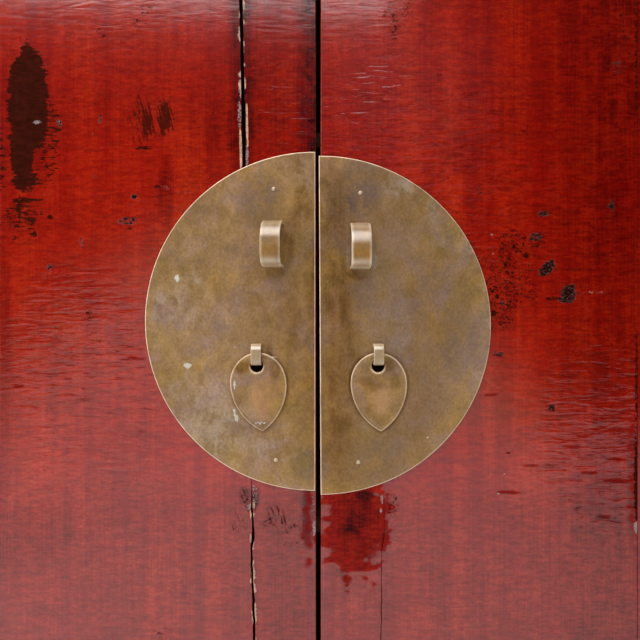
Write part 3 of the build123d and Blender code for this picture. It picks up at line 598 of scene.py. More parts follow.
CHIPS = (
    (-306, 1290, 2.5, 6, 0.8), (-258, 1294, 2.5, 6, 0.6), (-225, 1173, 13, 6, 0.52),
    (-218, 1202, 4, 3.5, 0.8), (-280, 1148, 4, 7, 0.5), (-317, 1118, 4, 7, 0.5),
    (266, 1113, 6, 5, 0.85), (271, 1118, 7, 7, 0.85), (276, 1123, 4, 5, 0.8),
    (296, 1088, 10, 10, 0.78), (292, 1080, 9, 4, 0.75), (301, 1096, 5, 4, 0.7),
    (256, 1155, 9, 6, 0.6), (265.6, 1182, 6, 4, 0.75), (276, 952.5, 5, 6, 0.6),
    (347, 1192, 5, 6, 0.6), (218, 1076, 4, 4, 0.6), (190, 1209, 4, 4, 0.5),
    (213, 1016, 9, 4, 0.5),
)
GOUGES = (
    (225, 853, 15, 2.6, 0.9), (321, 876, 11, 2.4, 0.8), (352, 866, 20, 3.0, 0.85),
    (300, 907, 12, 2.2, 0.8), (250, 884, 12, 2.0, 0.75), (274, 885, 9, 2.0, 0.75),
    (203, 968, 12, 2.0, 0.75), (352, 892, 12, 2.4, 0.8), (371, 904, 10, 3.0, 0.8),
    (336, 824, 10, 2.4, 0.8), (-216, 1011, 11, 2.6, 0.9), (-353, 978, 8, 2.4, 0.8),
)
CRACKLE = (
    (222, 1104, 44, 60, 0.68), (212, 1076, 20, 30, 0.7), (196, 1050, 14, 14, 0.6),
    (246, 1154, 30, 18, 0.58), (234, 1285, 22, 14, 0.42), (48, 842, 30, 12, 0.5),
    (56, 806, 22, 30, 0.28), (-50, 822, 26, 22, 0.34), (-30, 800, 20, 16, 0.4),
    (-92, 812, 20, 14, 0.36), (-8, 1290, 7, 40, 0.4), (88, 835, 8, 16, 0.8),
    (-80, 842, 12, 14, 0.75),
)
WRINKLED = (
    (-290, 1040, 90, 90, 0.6), (-260, 960, 130, 110, 0.4), (110, 1260, 130, 100, 0.9),
    (340, 920, 80, 120, 1.0), (250, 1170, 130, 90, 0.6), (-45, 1280, 40, 54, 0.35),
)
# darker tone; the mark just below the right half plate is partly dirt and partly painted shadow of
# the plate's edge
TONE = (
    (-103, 1281, 8, 28, 0.35), (-125, 1276, 12, 30, 0.2), (-87, 850, 8, 12, 0.6),
    (-74, 848, 6, 12, 0.5), (-180, 1204, 10, 52, 0.52), (173, 1252, 30, 30, 0.22),
    (-120, 1240, 50, 120, 0.12), (-13, 826, 9, 46, 0.4), (-350, 796, 60, 44, 0.16),
    (40, 832, 34, 34, 0.4), (56, 806, 26, 44, 0.25), (34, 780, 28, 44, 0.25),
    (56, 849, 13, 6, 0.5), (-350, 1290, 40, 90, 0.15), (-374, 980, 12, 170, 0.3),
    (-365, 1180, 30, 60, 0.12), (372, 870, 9, 80, 0.35),
)
DULL = (
    (44, 836, 37, 34, 1.3), (40, 796, 34, 44, 1.2), (64, 812, 20, 40, 1.0),
    (-13, 822, 8, 46, 0.7), (-50, 824, 26, 20, 0.2), (-45, 1280, 44, 60, 0.45),
    (374, 860, 8, 90, 0.5),
)
CHALK_MARKS = (
    (-332.5, 1290.5, 5, 2.4, 0.95), (-306, 1291, 2, 2, 0.7), (-178, 1213, 8, 2.4, 0.4),
    (-158, 1208, 10, 2.0, 0.4), (206, 1157, 1.8, 1.6, 0.8), (328, 1089, 20, 1.6, 0.4),
    (206, 1135, 1.4, 1.4, 0.8), (213, 851, 3, 1.4, 0.7), (220, 874, 2, 1.2, 0.7),
    (205, 874, 1.4, 1.2, 0.7), (-5, 809, 2.5, 9, 0.7), (-6, 850, 3.5, 26, 0.32),
    (376, 812, 3, 7, 1.0), (75, 845, 1.8, 6, 0.7), (74, 831, 1.8, 3, 0.8), (-82, 836, 3, 4, 0.7),
)
# beside the left joint: the first number is the distance from the joint
BARE_STRIPS = (
    (4.0, 1290, 1.1, 27, 1.3), (-4.0, 1258, 1.4, 26, 1.3), (3.0, 838, 0.8, 5, 1.1),
    (-2.2, 826, 0.7, 7, 1.1),
)
GREY_STRIPS = ((-4.4, 1300, 2.2, 20, 0.7), (3.2, 1250, 2.0, 20, 0.72), (3.5, 850, 3.5, 12, 0.5))
STILE_TONE = {LEFT: 0.2, RIGHT: 0.04}


def field(marks, x, z, ragged=0.25):
    """Height of the strongest mark at each point, its outline warped at random."""
    warp_x = (layered_noise(x * 90, z * 140, 41) - 0.5) * ragged
    warp_z = (layered_noise(x * 90, z * 140, 51) - 0.5) * ragged
    best = np.zeros_like(x)
    for mark_x, mark_z, half_x, half_z, strength in marks:
        u = (x / MM - mark_x) / half_x + warp_x * 2
        v = (z / MM - mark_z) / half_z + warp_z * 2
        best = np.maximum(best, strength * np.clip(1.35 - 0.85 * (u * u + v * v), 0, 1))
    return best


def soft_field(marks, x, z, most=1.0):
    """Sum of soft round-shouldered marks."""
    total = np.zeros_like(x)
    for mark_x, mark_z, half_x, half_z, strength in marks:
        distance = np.hypot((x / MM - mark_x) / half_x, (z / MM - mark_z) / half_z)
        total = total + strength * ramp(distance, 1.25, 0.55)
    return np.clip(total, 0, most)


def joint_x(side, z):
    """The leaning joint of meeting stile and panel."""
    return side * (JOINT_X[side] + JOINT_LEAN * (z - plate_z))


def split_width(side, z):
    """How wide the meeting joint has opened at the surface, to each side of it."""
    wander = layered_noise(z * 60, z * 0 + 3.3, 61)
    low = ramp(z, 0.87, 0.8)
    if side == LEFT:
        top = ramp(z, 1.1, 1.27)
        return (0.25 + top * (0.9 + 1.5 * wander) + low * (0.3 + 1.5 * wander)) * MM
    return low * (0.1 + 0.5 * wander) * MM


def split_x(side, z):
    """Middle of the opened joint, which wanders off the straight joint lower down."""
    wander = layered_noise(z * 60, z * 0 + 8.1, 67) - 0.5
    return joint_x(side, z) + wander * 4.5 * MM * ramp(z, 0.9, 0.8)


SPLIT_DEPTH, EDGE_ROUND = mm(6, 0.9)


def joint_relief(side, x, z):
    """Depth, crack, bare and chalk of the opened joint between meeting stile and panel."""
    offset = x - split_x(side, z)
    away = np.abs(offset)
    width = np.maximum(split_width(side, z), 0.001 * MM)
    depth = SPLIT_DEPTH * np.clip(width / (1.2 * MM), 0, 1) * np.clip(1 - away / width, 0, 1) ** 0.7
    crack = ramp(away, width * 1.25, width * 0.75) * ramp(width, 0.15 * MM, 0.4 * MM)
    flake = layered_noise(x * 160, z * 95, 71)
    reach = width + (0.3 + 7 * np.clip(flake - 0.45, 0, 1)) * MM
    open_share = ramp(width, 0.4 * MM, 1.1 * MM) * ramp(np.abs(z - 1.27), 0.04, 0.06)
    bare = ramp(away, reach, reach - 0.8 * MM) * open_share * ramp(flake, 0.48, 0.58)
    chalk = ramp(away, reach + 1 * MM, reach) * open_share * ramp(flake, 0.52, 0.6) * 0.7
    if side == LEFT:
        bare = np.maximum(bare, field(BARE_STRIPS, offset, z, 0.5))
        chalk = np.maximum(chalk, field(GREY_STRIPS, offset, z, 0.5))
    return depth, crack, bare * (1 - crack), chalk * (1 - crack)


def board_relief(side, x, z, free_edge):
    """Depth below the door's face, and the marks that the lacquer reads."""
    seed = 200 + side
    waves = layered_noise(x * 14, z * 5, seed, 3)
    wrinkles = layered_noise(x * 48, z * 170, seed + 9, 2)
    stile = ramp(np.abs(joint_x(side, z)) - np.abs(x), -0.2 * MM, 0.2 * MM)
    darkening = 0.0
    if side == LEFT:
        # dirt gathers along the gap and along the opened joint, above the plate
        along_gap = 0.85 * ramp(np.abs(x), 34 * MM, 5 * MM)
        along_joint = 0.65 * ramp(np.abs(x - joint_x(side, z)), 24 * MM, 5 * MM)
        darkening = ramp(z, 1.17, 1.24) * np.maximum(along_gap, along_joint)
    tone = 1 - (1 - STILE_TONE[side] * stile) * (1 - darkening) * (1 - soft_field(TONE, x, z))
    gouges = field(GOUGES, x, z, 0.6)
    depth, crack, bare, chalk = joint_relief(side, x, z)
    marks = {
        "lost": field(LOST, x, z),
        "strokes": soft_field(STROKES, x, z),
        "chips": field(CHIPS, x, z),
        "crackle": soft_field(CRACKLE, x, z),
        "wrinkled": soft_field(WRINKLED, x, z),
        "tone": np.maximum(tone, 0.45 * gouges),
        "dull": np.maximum(field(DULL, x, z, 0.9), gouges),
        "chalk": np.maximum(field(CHALK_MARKS, x, z, 0.5), chalk),
        "crack": crack,
        "bare": bare,
    }
    relief = 0.35 * waves + (0.05 + 0.22 * marks["wrinkled"]) * wrinkles
    relief = relief + 0.25 * ramp(marks["chips"], 0.35, 0.9) + 0.2 * ramp(bare, 0.2, 0.9)
    near = np.clip(1 - np.abs(x - free_edge) / EDGE_ROUND, 0, 1)
    return depth + relief * MM + EDGE_ROUND * (1 - np.sqrt(1 - 0.98 * near**2)), marks


def spaced(low, high, step):
    return np.linspace(low, high, max(2, int(round((high - low) / step)) + 1))


def board_rows(low, high):
    """Heights of the mesh rows: fine where the board is seen from close by."""
    start, stop = VIEW_Z
    parts = spaced(low, start, COARSE_ROW), spaced(start, stop, FINE_ROW)
    return np.unique(np.concatenate([*parts, spaced(stop, high, COARSE_ROW)]))


def make_board(side, what, free_edge, from_joint, z_range, back_y, material):
    """A board with a worn front face, between its free edge and the leaning joint."""
    z = board_rows(*z_range)[:, None]
    close = np.array([0, 0.35, 0.7, 1.05, 1.4, 1.8, 2.3, 3.0, 4.2, 6.0]) * MM
    start, stop = np.full_like(z, free_edge), joint_x(side, z)
    if from_joint:
        start, stop = stop, start
    span = np.abs(stop - start)
    way = np.sign(stop - start)
    count = int(round((float(span.max()) - 2 * close[-1]) / COLUMN))
    share = np.linspace(0, 1, count + 1)[1:-1]
    middle = close[-1] + share * (span - 2 * close[-1])
    first = np.broadcast_to(close, (len(z), len(close)))
    across = np.concatenate([first, middle, span - first[:, ::-1]], 1)
    x = start + way * across
    rows, columns = x.shape
    depth, marks = board_relief(side, x, np.broadcast_to(z, x.shape), free_edge)
    front = points_at(x, door_front_y + np.clip(depth, 0, SPLIT_DEPTH), z).reshape(-1, 3)
    index = np.arange(rows * columns).reshape(rows, columns)
    edges = index[0], index[1:, -1], index[-1, -2::-1], index[-2:0:-1, 0]
    border = np.concatenate(edges)
    back = front[border].copy()
    back[:, 1] = back_y
    back_index = len(front) + np.arange(len(border))
    faces = grid_faces(index)
    flat_from = len(faces)
    walls = [border, back_index, np.roll(back_index, -1), np.roll(border, -1)]
    faces += np.stack(walls, -1).tolist()
    faces.append(back_index[::-1].tolist())
    if float(way[0, 0]) < 0:
        faces = [face[::-1] for face in faces]
    unmarked = np.zeros(len(border))
    marks = {key: np.concatenate([values.ravel(), unmarked]) for key, values in marks.items()}
    points = np.concatenate([front, back])
    return make_object(named(side, what), points, faces, material, marks, flat_from)


def make_stile(side, material):
    edge = side * meeting_x
    return make_board(side, "stile_board", edge, False, door_z, door_back_y, material)


def make_panel(side, material):
    edge = side * hinge_joint_x
    return make_board(side, "panel_board", edge, True, panel_z, panel_back_y, material)


# ---- brass pieces ----
# patina and painted shade on the brass: darker tops of both plates and lower part of the right
# plate, shadows under and beside the lock loops, right of the left staple and along the right
# pull's left edge
PATINA_AND_SHADE = (
    (-19, 1222, 18, 36, 0.14), (-22, 1118, 26, 92, 0.32), (-22, 980, 22, 100, 0.22),
    (-52, 1050, 30, 90, 0.14), (-96, 1238, 18, 10, 0.2), (-70, 1215, 120, 66, 0.28),
    (-50, 1114, 15, 6, 0.25), (-36, 1142, 9, 24, 0.34), (70, 1215, 110, 66, 0.14),
    (22, 1085, 18, 44, 0.25), (18, 1035, 34, 215, 0.42), (40, 1150, 34, 60, 0.12),
    (49, 1110, 16, 7, 0.28), (34, 980, 26, 80, 0.2), (100, 1000, 60, 90, 0.16),
    (160, 1190, 20, 14, 0.15), (62, 896, 76, 44, 0.15), (110, 960, 50, 50, 0.12),
    (130, 1090, 60, 60, 0.1), (185, 1060, 10, 60, 0.15), (-58, 1018, 5, 12, 0.35),
)
PULL_GRIME = (
    (70, 970, 44, 56, 0.18), (-91, 1002, 12, 10, 0.62), (-51, 1000, 8, 14, 0.62),
    (-96, 960, 7, 16, 0.22), (-62, 950, 5, 8, 0.2), (-68, 936, 10, 6, 0.25),
    (-76, 1004, 12, 8, 0.25), (82, 1004, 12, 9, 0.45), (90, 985, 6, 12, 0.35),
    (54, 985, 10, 6, 0.35), (66, 978, 16, 5, 0.28), (62, 950, 8, 10, 0.28),
    (74, 940, 10, 8, 0.3),
)
# painted shade: near black on the plate behind each pull's hole
PAINTED_HOLE_SHADE = ((-72.4, 1001, 11, 10, 3.0), (70.4, 1001, 11, 10, 3.0))
LILACS = (
    (98, 1214, 24, 14, 0.5), (134, 1184, 8, 15, 0.55), (-50, 904, 34, 16, 0.25),
    (-165, 1075, 40, 36, 0.2), (-16, 1218, 14, 34, 0.25), (-143, 1109, 6, 10, 0.4),
    (36, 1130, 3, 14, 0.6), (66, 1126, 5, 9, 0.6), (92, 1050, 20, 40, 0.25),
    (-140, 930, 70, 60, 0.3),
)
PAINT = (
    (-166.5, 1106, 3.2, 4.5, 0.8), (-154, 1003, 5, 4, 0.8), (-99, 948, 1.4, 6, 0.7),
    (-96, 940, 1.8, 5, 0.85), (-98.5, 981, 1.3, 6, 0.75), (-67, 935.5, 8, 1.5, 0.75),
    (-98, 1024, 2, 1.5, 0.6), (-52, 1013, 4, 1.2, 0.6), (129.5, 918, 1.2, 1.2, 1.0),
    (129.5, 913, 1.6, 1.6, 0.7),
)
WARM = ((-66, 966, 16, 26, 0.36), (73, 964, 14, 18, 0.24))
FILM_MARKS = (
    (97, 1040, 75, 175, 0.22), (50, 1212, 26, 42, 0.48), (52, 1086, 20, 24, 0.2),
    (165, 1030, 24, 44, 0.25), (-12, 884, 20, 22, 0.42), (-68, 1198, 28, 34, 0.42),
    (26, 1180, 18, 50, 0.22), (52, 888, 50, 34, 0.2),
)


def brass_piece(name, material, vertices, faces, darkening=PATINA_AND_SHADE, shade=0.0, film=(), **marks):
    """A brass object, with its own marks and those that stand in the tables."""
    x, z = vertices[:, 0], vertices[:, 2]
    # the patina mark carries patina and painted shade: shadows from the tables and, on the plates,
    # along the pull's outline
    marks["patina"] = soft_field(darkening, x, z, 3.0) + shade
    marks["lilac"] = soft_field(LILACS, x, z)
    marks["film"] = soft_field(film, x, z)
    marks["paint"] = field(PAINT, x, z, 0.3)
    return make_object(name, vertices, faces, material, marks)


def circle(centre, radius, angles):
    """(x, z) points about a centre; the radius is one number or one for each angle."""
    x, z = centre
    return np.stack([x + radius * np.cos(angles), z + radius * np.sin(angles)], -1)


def half_disc(side, inset):
    """Outline of a half plate, moved inward by inset, as (x, z) points."""
    low, high = node_box(side, "half_plate")
    centre_z = (low.z + high.z) / 2
    centre_x = low.x + medallion_r if side == LEFT else high.x - medallion_r
    radius = medallion_r - inset
    lean = PLATE_EDGE_LEAN[side]
    edge_0 = PLATE_EDGE_X[side] - lean * plate_z + side * inset
    # the circle and the straight edge x = edge_0 + lean * z meet at two heights
    a = 1 + lean**2
    b = -2 * (centre_z - lean * (edge_0 - centre_x))
    c = centre_z**2 + (edge_0 - centre_x) ** 2 - radius**2
    half = math.sqrt(b * b - 4 * a * c) / (2 * a)
    top, bottom = -b / (2 * a) + half, -b / (2 * a) - half
    up = math.atan2(top - centre_z, edge_0 + lean * top - centre_x)
    down = math.atan2(bottom - centre_z, edge_0 + lean * bottom - centre_x)
    if side == LEFT:
        down += 2 * math.pi
    angles = np.linspace(up, down, ARC_POINTS, endpoint=False)
    arc = circle((centre_x, centre_z), radius, angles)
    heights = np.linspace(bottom, top, EDGE_POINTS, endpoint=False)
    chord = np.stack([edge_0 + lean * heights, heights], -1)
    return np.concatenate([arc, chord])


def lift(outline, y):
    """(x, z) points at a depth y, one number or one for each point."""
    return points_at(outline[:, 0], y, outline[:, 1])


def make_plate(side, material):
    bevel = [(0.0, 1.35), (0.22, 0.72), (0.5, 0.3), (0.85, 0.08), (1.3, 0.0)]
    rings = [lift(half_disc(side, 0.0), door_front_y)]
    rubbed = [0.6]
    for inset, drop in bevel:
        ring = half_disc(side, inset * PLATE_BEVEL)
        rings.append(lift(ring, plate_front_y + drop * PLATE_BEVEL))
        rubbed.append(1.0 if inset < 1.2 else 0.7)
    rim = half_disc(side, 2.0 * PLATE_BEVEL)
    rings.append(lift(rim, plate_front_y))
    rubbed.append(0.0)
    middle = np.array([side * 0.42 * medallion_r, plate_z])
    for scale in np.linspace(1, 0.012, 90)[1:]:
        ring = middle + (rim - middle) * scale
        dent = layered_noise(ring[:, 0] * 22, ring[:, 1] * 22, 301, 3)
        settle = min(1.0, (1 - scale) * 12)
        rings.append(lift(ring, plate_front_y + PLATE_DENT * dent * settle))
        rubbed.append(0.0)
    if side == LEFT:
        rings = [ring[::-1] for ring in rings]
    vertices, faces = skin(rings)
    shade = shade_round_pull(side, vertices[:, 0], vertices[:, 2])
    darkening, rubbed = PATINA_AND_SHADE + PAINTED_HOLE_SHADE, np.repeat(rubbed, len(rim))
    name = named(side, "plate_sheet")
    return brass_piece(name, material, vertices, faces, darkening, shade, FILM_MARKS, rubbed=rubbed)


def straight(start, end, step):
    """Points from start, left out, to end."""
    run = spaced(0, 1, step / max(np.linalg.norm(end - start), step))
    return [start + (end - start) * t for t in run[1:]]


def rounded_path(points, radii, step=0.9 * MM):
    """Points along straight runs joined by arcs, with the unit tangent at each."""
    points = [np.array(p, float) for p in points]
    line = [points[0]]
    for before, here, after, radius in zip(points, points[1:], points[2:], radii):
        a, b = before - here, after - here
        a, b = a / np.linalg.norm(a), b / np.linalg.norm(b)
        half = math.acos(float(np.clip(a @ b, -1, 1))) / 2
        reach = radius / math.tan(half)
        centre = here + (a + b) / np.linalg.norm(a + b) * radius / math.sin(half)
        start = here + a * reach
        line += straight(line[-1], start, step)
        u, v = start - centre, here + b * reach - centre
        turn = math.atan2(u[0] * v[1] - u[1] * v[0], float(u @ v))
        steps = max(6, int(abs(turn) * np.linalg.norm(u) / step))
        for k in range(1, steps + 1):
            cos, sin = math.cos(turn * k / steps), math.sin(turn * k / steps)
            line.append(centre + (cos * u[0] - sin * u[1], sin * u[0] + cos * u[1]))
    line = np.array(line + straight(line[-1], points[-1], step))
    tangent = np.gradient(line, axis=0)
    return line, tangent / np.linalg.norm(tangent, axis=1, keepdims=True)


def strap_section(width, thickness, corner):
    """Closed outline of a flat strap with worn, rounded corners: (across, out) points."""
    outline = []
    inner, rise = width / 2 - corner, thickness / 2 - corner
    for sx, st, turn in ((1, 1, 0), (-1, 1, 90), (-1, -1, 180), (1, -1, 270)):
        for k in range(5):
            angle = math.radians(turn + 90 * k / 4)
            across, out = corner * math.cos(angle), corner * math.sin(angle)
            outline.append((sx * inner + across, st * rise + out))
        if turn in (0, 180):
            outline += [(sx * t * inner, st * thickness / 2) for t in np.linspace(1, -1, 9)[1:-1]]
    return np.array(outline)


def sweep_strap(path, radii, x, width, skew=0.0, crown=0.0, worn=0.8):
    """Strap along (y, z) points; x moves by skew for each unit that it stands out."""
    line, tangent = rounded_path(path, radii)
    section = strap_section(width, STRAP_T, STRAP_CORNER)
    rings, rim = [], []
    for k, (point, along) in enumerate(zip(line, tangent)):
        normal = np.array([-along[1], along[0]])
        across, out = section[:, 0], section[:, 1]
        dent = value_noise(across * 150 + 7, np.full_like(across, k * 0.16), 401) - 0.5
        swell = crown * (1 - (2 * across / width) ** 2) * np.sign(out)
        spread = point + normal * (out + swell + dent * 0.1 * MM * np.sign(out))[:, None]
        shift = skew * (plate_front_y - point[0])
        rings.append(points_at(x + shift + across, spread[:, 0], spread[:, 1]))
        rim.append(worn * ramp(np.abs(across), width / 2 - 1.1 * MM, width / 2 - 0.5 * MM))
    vertices, faces = skin(rings)
    return vertices, faces, np.concatenate(rim)


def make_strap(name, material):
    """A strap bent forward from the plate, with tongues clinched behind the door."""
    x, z, (width, height, out), radii, tongue_w, skew, worn, fade = STRAPS[name]
    reach = (height - STRAP_T) / 2
    front, foot = plate_front_y - out + STRAP_T / 2, plate_front_y + STRAP_SUNK
    path = [(foot, z + reach), (front, z + reach), (front, z - reach), (foot, z - reach)]
    radii = [radius - STRAP_T / 2 for radius in radii]
    parts = [sweep_strap(path, radii, x, width, skew, STRAP_CROWN, worn)]
    back = door_back_y + STRAP_T / 2
    for turn in (1, -1):
        foot_z = z + turn * reach
        tongue = [(plate_front_y, foot_z), (back, foot_z), (back, foot_z + turn * TONGUE_CLINCH)]
        parts.append(sweep_strap(tongue, [TONGUE_BEND], x, tongue_w))
    vertices, faces = merge([part[:2] for part in parts])
    # the bends are rubbed as well and lightened as painted highlight, brightest where they turn
    # back to the plate
    up = (vertices[:, 2] - z) / (height / 2)
    bends = 0.55 * worn * ramp(np.abs(up), 1 - 2.4 * MM / height, 1 - 1 * MM / height)
    bends = bends + 0.3 * ramp(np.abs(up), 0.55, 0.8)
    rubbed = np.clip(np.concatenate([part[2] for part in parts]) + bends + fade, 0, 1)
    shine = np.maximum(ramp(up, -0.35, 0.15) * 0.7 + 0.3, ramp(up, -0.55, -0.85))
    shine = np.maximum(shine, 6 * fade)
    return brass_piece(name, material, vertices, faces, rubbed=rubbed, shine=shine)


def make_lock_loop(side, material):
    return make_strap(named(side, "loop_strap"), material)


def make_staple(side, material):
    return make_strap(named(side, "staple_strap"), material)


def drop_outline(count=240):
    """Outline of the pull about its hole, anticlockwise from the right shoulder."""
    shoulder = PULL_HOLE_DROP - PULL_SHOULDER
    tip = PULL_HOLE_DROP - PULL_H
    fall = shoulder - tip
    radius = (PULL_HALF_W**2 + fall**2) / (2 * PULL_HALF_W)
    sweep = math.asin(fall / radius)
    upper = np.linspace(0, math.pi, count // 2, endpoint=False)
    top = np.stack([PULL_HALF_W * np.cos(upper), shoulder + PULL_SHOULDER * np.sin(upper)], -1)
    lower = np.linspace(0, sweep, count // 4, endpoint=False)
    centre = PULL_HALF_W - radius
    side = np.stack([centre + radius * np.cos(lower), shoulder - radius * np.sin(lower)], -1)
    left = side * (-1, 1)
    end = np.array([[0.0, tip]])
    return np.concatenate([top, left, end, side[:0:-1]])


def inset_outline(outline, margin):
    """A closed outline moved inward along its normals."""
    along = np.roll(outline, -1, 0) - np.roll(outline, 1, 0)
    along /= np.linalg.norm(along, axis=1, keepdims=True)
    normal = np.stack([-along[:, 1], along[:, 0]], -1)
    return outline + normal * margin


def place_pull(side, points):
    """Points about the pull's hole, as (x, z) points of the door."""
    staple_x, staple_z, (width, height, _), *_ = STRAPS[named(side, "staple_strap")]
    staple_foot = staple_z - height / 2 + STRAP_T
    hole_z = staple_foot - math.sqrt((PULL_HOLE_R - PULL_PLAY) ** 2 - (width / 2) ** 2)
    tilt = math.radians(PULL_TILT[side])
    across = np.array([math.cos(tilt), math.sin(tilt)])
    up = np.array([-math.sin(tilt), math.cos(tilt)])
    return np.array([staple_x, hole_z]) + points[:, :1] * across + points[:, 1:] * up


def shade_round_pull(side, x, z):
    """Painted shadow on the plate along the outline of the pull."""
    outline = place_pull(side, drop_outline(120))
    away = np.hypot(x[:, None] - outline[:, 0], z[:, None] - outline[:, 1]).min(1)
    return 0.32 * ramp(away, 5 * MM, 1 * MM)


def make_pull(side, material):
    low, high = node_box(side, "pull")
    back_y, front_y = high.y, low.y
    outline = drop_outline()
    angle = np.arctan2(outline[:, 1], outline[:, 0])
    hole = circle((0, 0), PULL_HOLE_R, angle)
    rings, rubbed = [], []

    def ring(points, y, rub):
        rings.append((points, y))
        rubbed.append(rub)

    ring(hole, back_y, 0.3)
    ring(hole, front_y + 0.7 * MM, 0.6)
    for grow, drop in ((0.3, 0.35), (0.8, 0.08), (1.6, 0.05), (2.2, 0.28)):
        ring(hole * (1 + grow * MM / PULL_HOLE_R), front_y + drop * MM, 0.8 if grow < 1.8 else 0.1)
    inner = hole * (1 + 2.2 * MM / PULL_HOLE_R)
    outer = inset_outline(outline, 2.6 * MM)
    for share in np.linspace(0, 1, 26)[1:-1]:
        points = inner + (outer - inner) * share
        dent = layered_noise(points[:, 0] * 60 + 5 * side, points[:, 1] * 60, 501, 3) - 0.5
        dome = math.sin(math.pi * share) * 0.28
        ring(points, front_y + (0.34 - dome) * MM + 0.1 * MM * dent, 0.0)
    for inset, drop, rub in (
        (2.6, 0.34, 0.0), (2.1, 0.26, 0.1), (1.6, 0.1, 0.45), (1.2, 0.0, 0.5),
        (0.7, 0.03, 0.65), (0.3, 0.22, 0.5), (0.0, 0.6, 0.1),
    ):
        ring(inset_outline(outline, inset * MM), front_y + drop * MM, rub)
    ring(outline, back_y - 0.3 * MM, 0.3)
    ring(inset_outline(outline, 0.3 * MM), back_y, 0.1)

    placed = [lift(place_pull(side, points), y) for points, y in rings]
    vertices, faces = skin(placed, closed=True)
    # the rims are rubbed, and lightened as painted highlight: the rim of the hole most at the
    # bottom, the outer rim at the top
    low_side = ramp(np.sin(angle), 0.3, -0.9)
    height = ramp(outline[:, 1], -0.06, 0.0)
    worn = [1.2 * low_side if k < 6 else 0.5 + 0.6 * height for k in range(len(rings))]
    rubbed = np.concatenate([rub * share for rub, share in zip(rubbed, worn)])
    warm = soft_field(WARM, vertices[:, 0], vertices[:, 2])
    name = named(side, "pull_leaf")
    return brass_piece(name, material, vertices, faces, PULL_GRIME, rubbed=rubbed, warm=warm)


def make_nails(side, material):
    """Round-headed nails: lathed heads, slightly out of round, and tapering shanks."""
    parts, rubbed = [], []
    turn = np.linspace(0, 2 * math.pi, NAIL_POINTS, endpoint=False)
    crown = [(0.08, 1.0), (0.4, 0.96), (0.7, 0.78), (0.92, 0.45), (1.0, 0.12), (1.0, 0.0)]
    shank = [(0.3 * MM, NAIL_SHANK_R), (0.7 * NAIL_L, 0.8 * NAIL_SHANK_R), (NAIL_L, 0.1 * MM)]
    for k, centre in enumerate(NAIL_PLACES[side]):
        wobble = 1 + 0.07 * np.sin(2 * turn + k) + 0.04 * np.sin(3 * turn + 2 * k)
        rings = []
        for share, rise in crown:
            ring = circle(centre, NAIL_HEAD_R * share * wobble * 0.96, turn)
            rings.append(lift(ring, plate_front_y + 0.2 * MM - NAIL_HEAD_H * rise))
            rubbed.append(0.5 if rise > 0.5 else 0.2)
        for depth, radius in shank:
            rings.append(lift(circle(centre, radius, turn), plate_front_y + depth))
            rubbed.append(0.0)
        parts.append(skin(rings))
    vertices, faces = merge(parts)
    rubbed, shine = np.repeat(rubbed, NAIL_POINTS), np.full(len(vertices), 0.6)
    name = named(side, "nail_pair")
    return brass_piece(name, material, vertices, faces, rubbed=rubbed, shine=shine)


# ---- dressing the frame ----
def dress(side, make, material, node):
    """A detailed piece that takes the place of a CAD node and moves with its body."""
    piece = make(side, material)
    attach(piece, named(side, "pull" if node == "pull" else "door"))
    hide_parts(named(side, node))


def paint_node(name, material, bevel, worn=None):
    """A CAD node's finish, with softened edges that may carry a worn finish of their own."""
    node = frame["nodes"][name]
    node.data.materials.clear()
    node.data.materials.append(material)
    soft = node.modifiers.new("softened_edges", "BEVEL")
    soft.width = bevel
    soft.segments = 2
    soft.limit_method = "ANGLE"
    soft.angle_limit = math.radians(40)
    if worn:
        node.data.materials.append(worn)
        soft.material = 1


THICK_RED, THIN_RED = (0.28, 0.0042, 0.0008), (0.335, 0.0085, 0.0013)
CASE_THICK, CASE_THIN = (0.2, 0.0075, 0.0035), (0.26, 0.011, 0.0045)
PAINTED_DEPTH = 11.9 * MM  # lacquer reaches almost to the back of the panels
RAIL_EDGE, BATTEN_EDGE, CASE_EDGE = mm(0.5, 1, 1.2)  # how wide edges are softened

painted_y = door_front_y + PAINTED_DEPTH
door_lacquer = make_lacquer("door_lacquer", THICK_RED, THIN_RED, back_y=painted_y)
case_lacquer = make_lacquer("case_lacquer", CASE_THICK, CASE_THIN, 0.2, 1.58)
worn_edge = make_bare_wood("worn_edge", (0.085, 0.012, 0.006), (0.22, 0.075, 0.036), shift=20)
bare_wood = make_bare_wood("bare_wood", (0.18, 0.092, 0.045), (0.36, 0.21, 0.115))
# painted shade: the wood of shelves, floor board and battens is dark, so the gap between the doors
# shows black
shade_dark_wood = (0.06, 0.033, 0.018), (0.13, 0.078, 0.046)
bare_wood_flat = make_bare_wood("bare_wood_flat", *shade_dark_wood, "x", 40)
brass_sheet = make_brass("brass_sheet")
brass_strap = make_brass("brass_strap", (0.79, 0.655, 0.25), RUBBED_STRAP, 60, 0.15, 1.0, 2.1)

for side in SIDE_NAMES:
    dress(side, make_stile, door_lacquer, "meeting_stile")
    dress(side, make_panel, door_lacquer, "door_panel")
    dress(side, make_plate, brass_sheet, "half_plate")
    dress(side, make_nails, brass_strap, "plate_nails")
    dress(side, make_lock_loop, brass_strap, "lock_loop")
    dress(side, make_staple, brass_strap, "pull_staple")
    dress(side, make_pull, brass_sheet, "pull")
    for level in ("lower", "upper"):
        paint_node(named(side, f"door_{level}_rail"), door_lacquer, RAIL_EDGE)
        paint_node(named(side, f"door_{level}_batten"), bare_wood_flat, BATTEN_EDGE)
    paint_node(named(side, "hinge_stile"), door_lacquer, RAIL_EDGE)

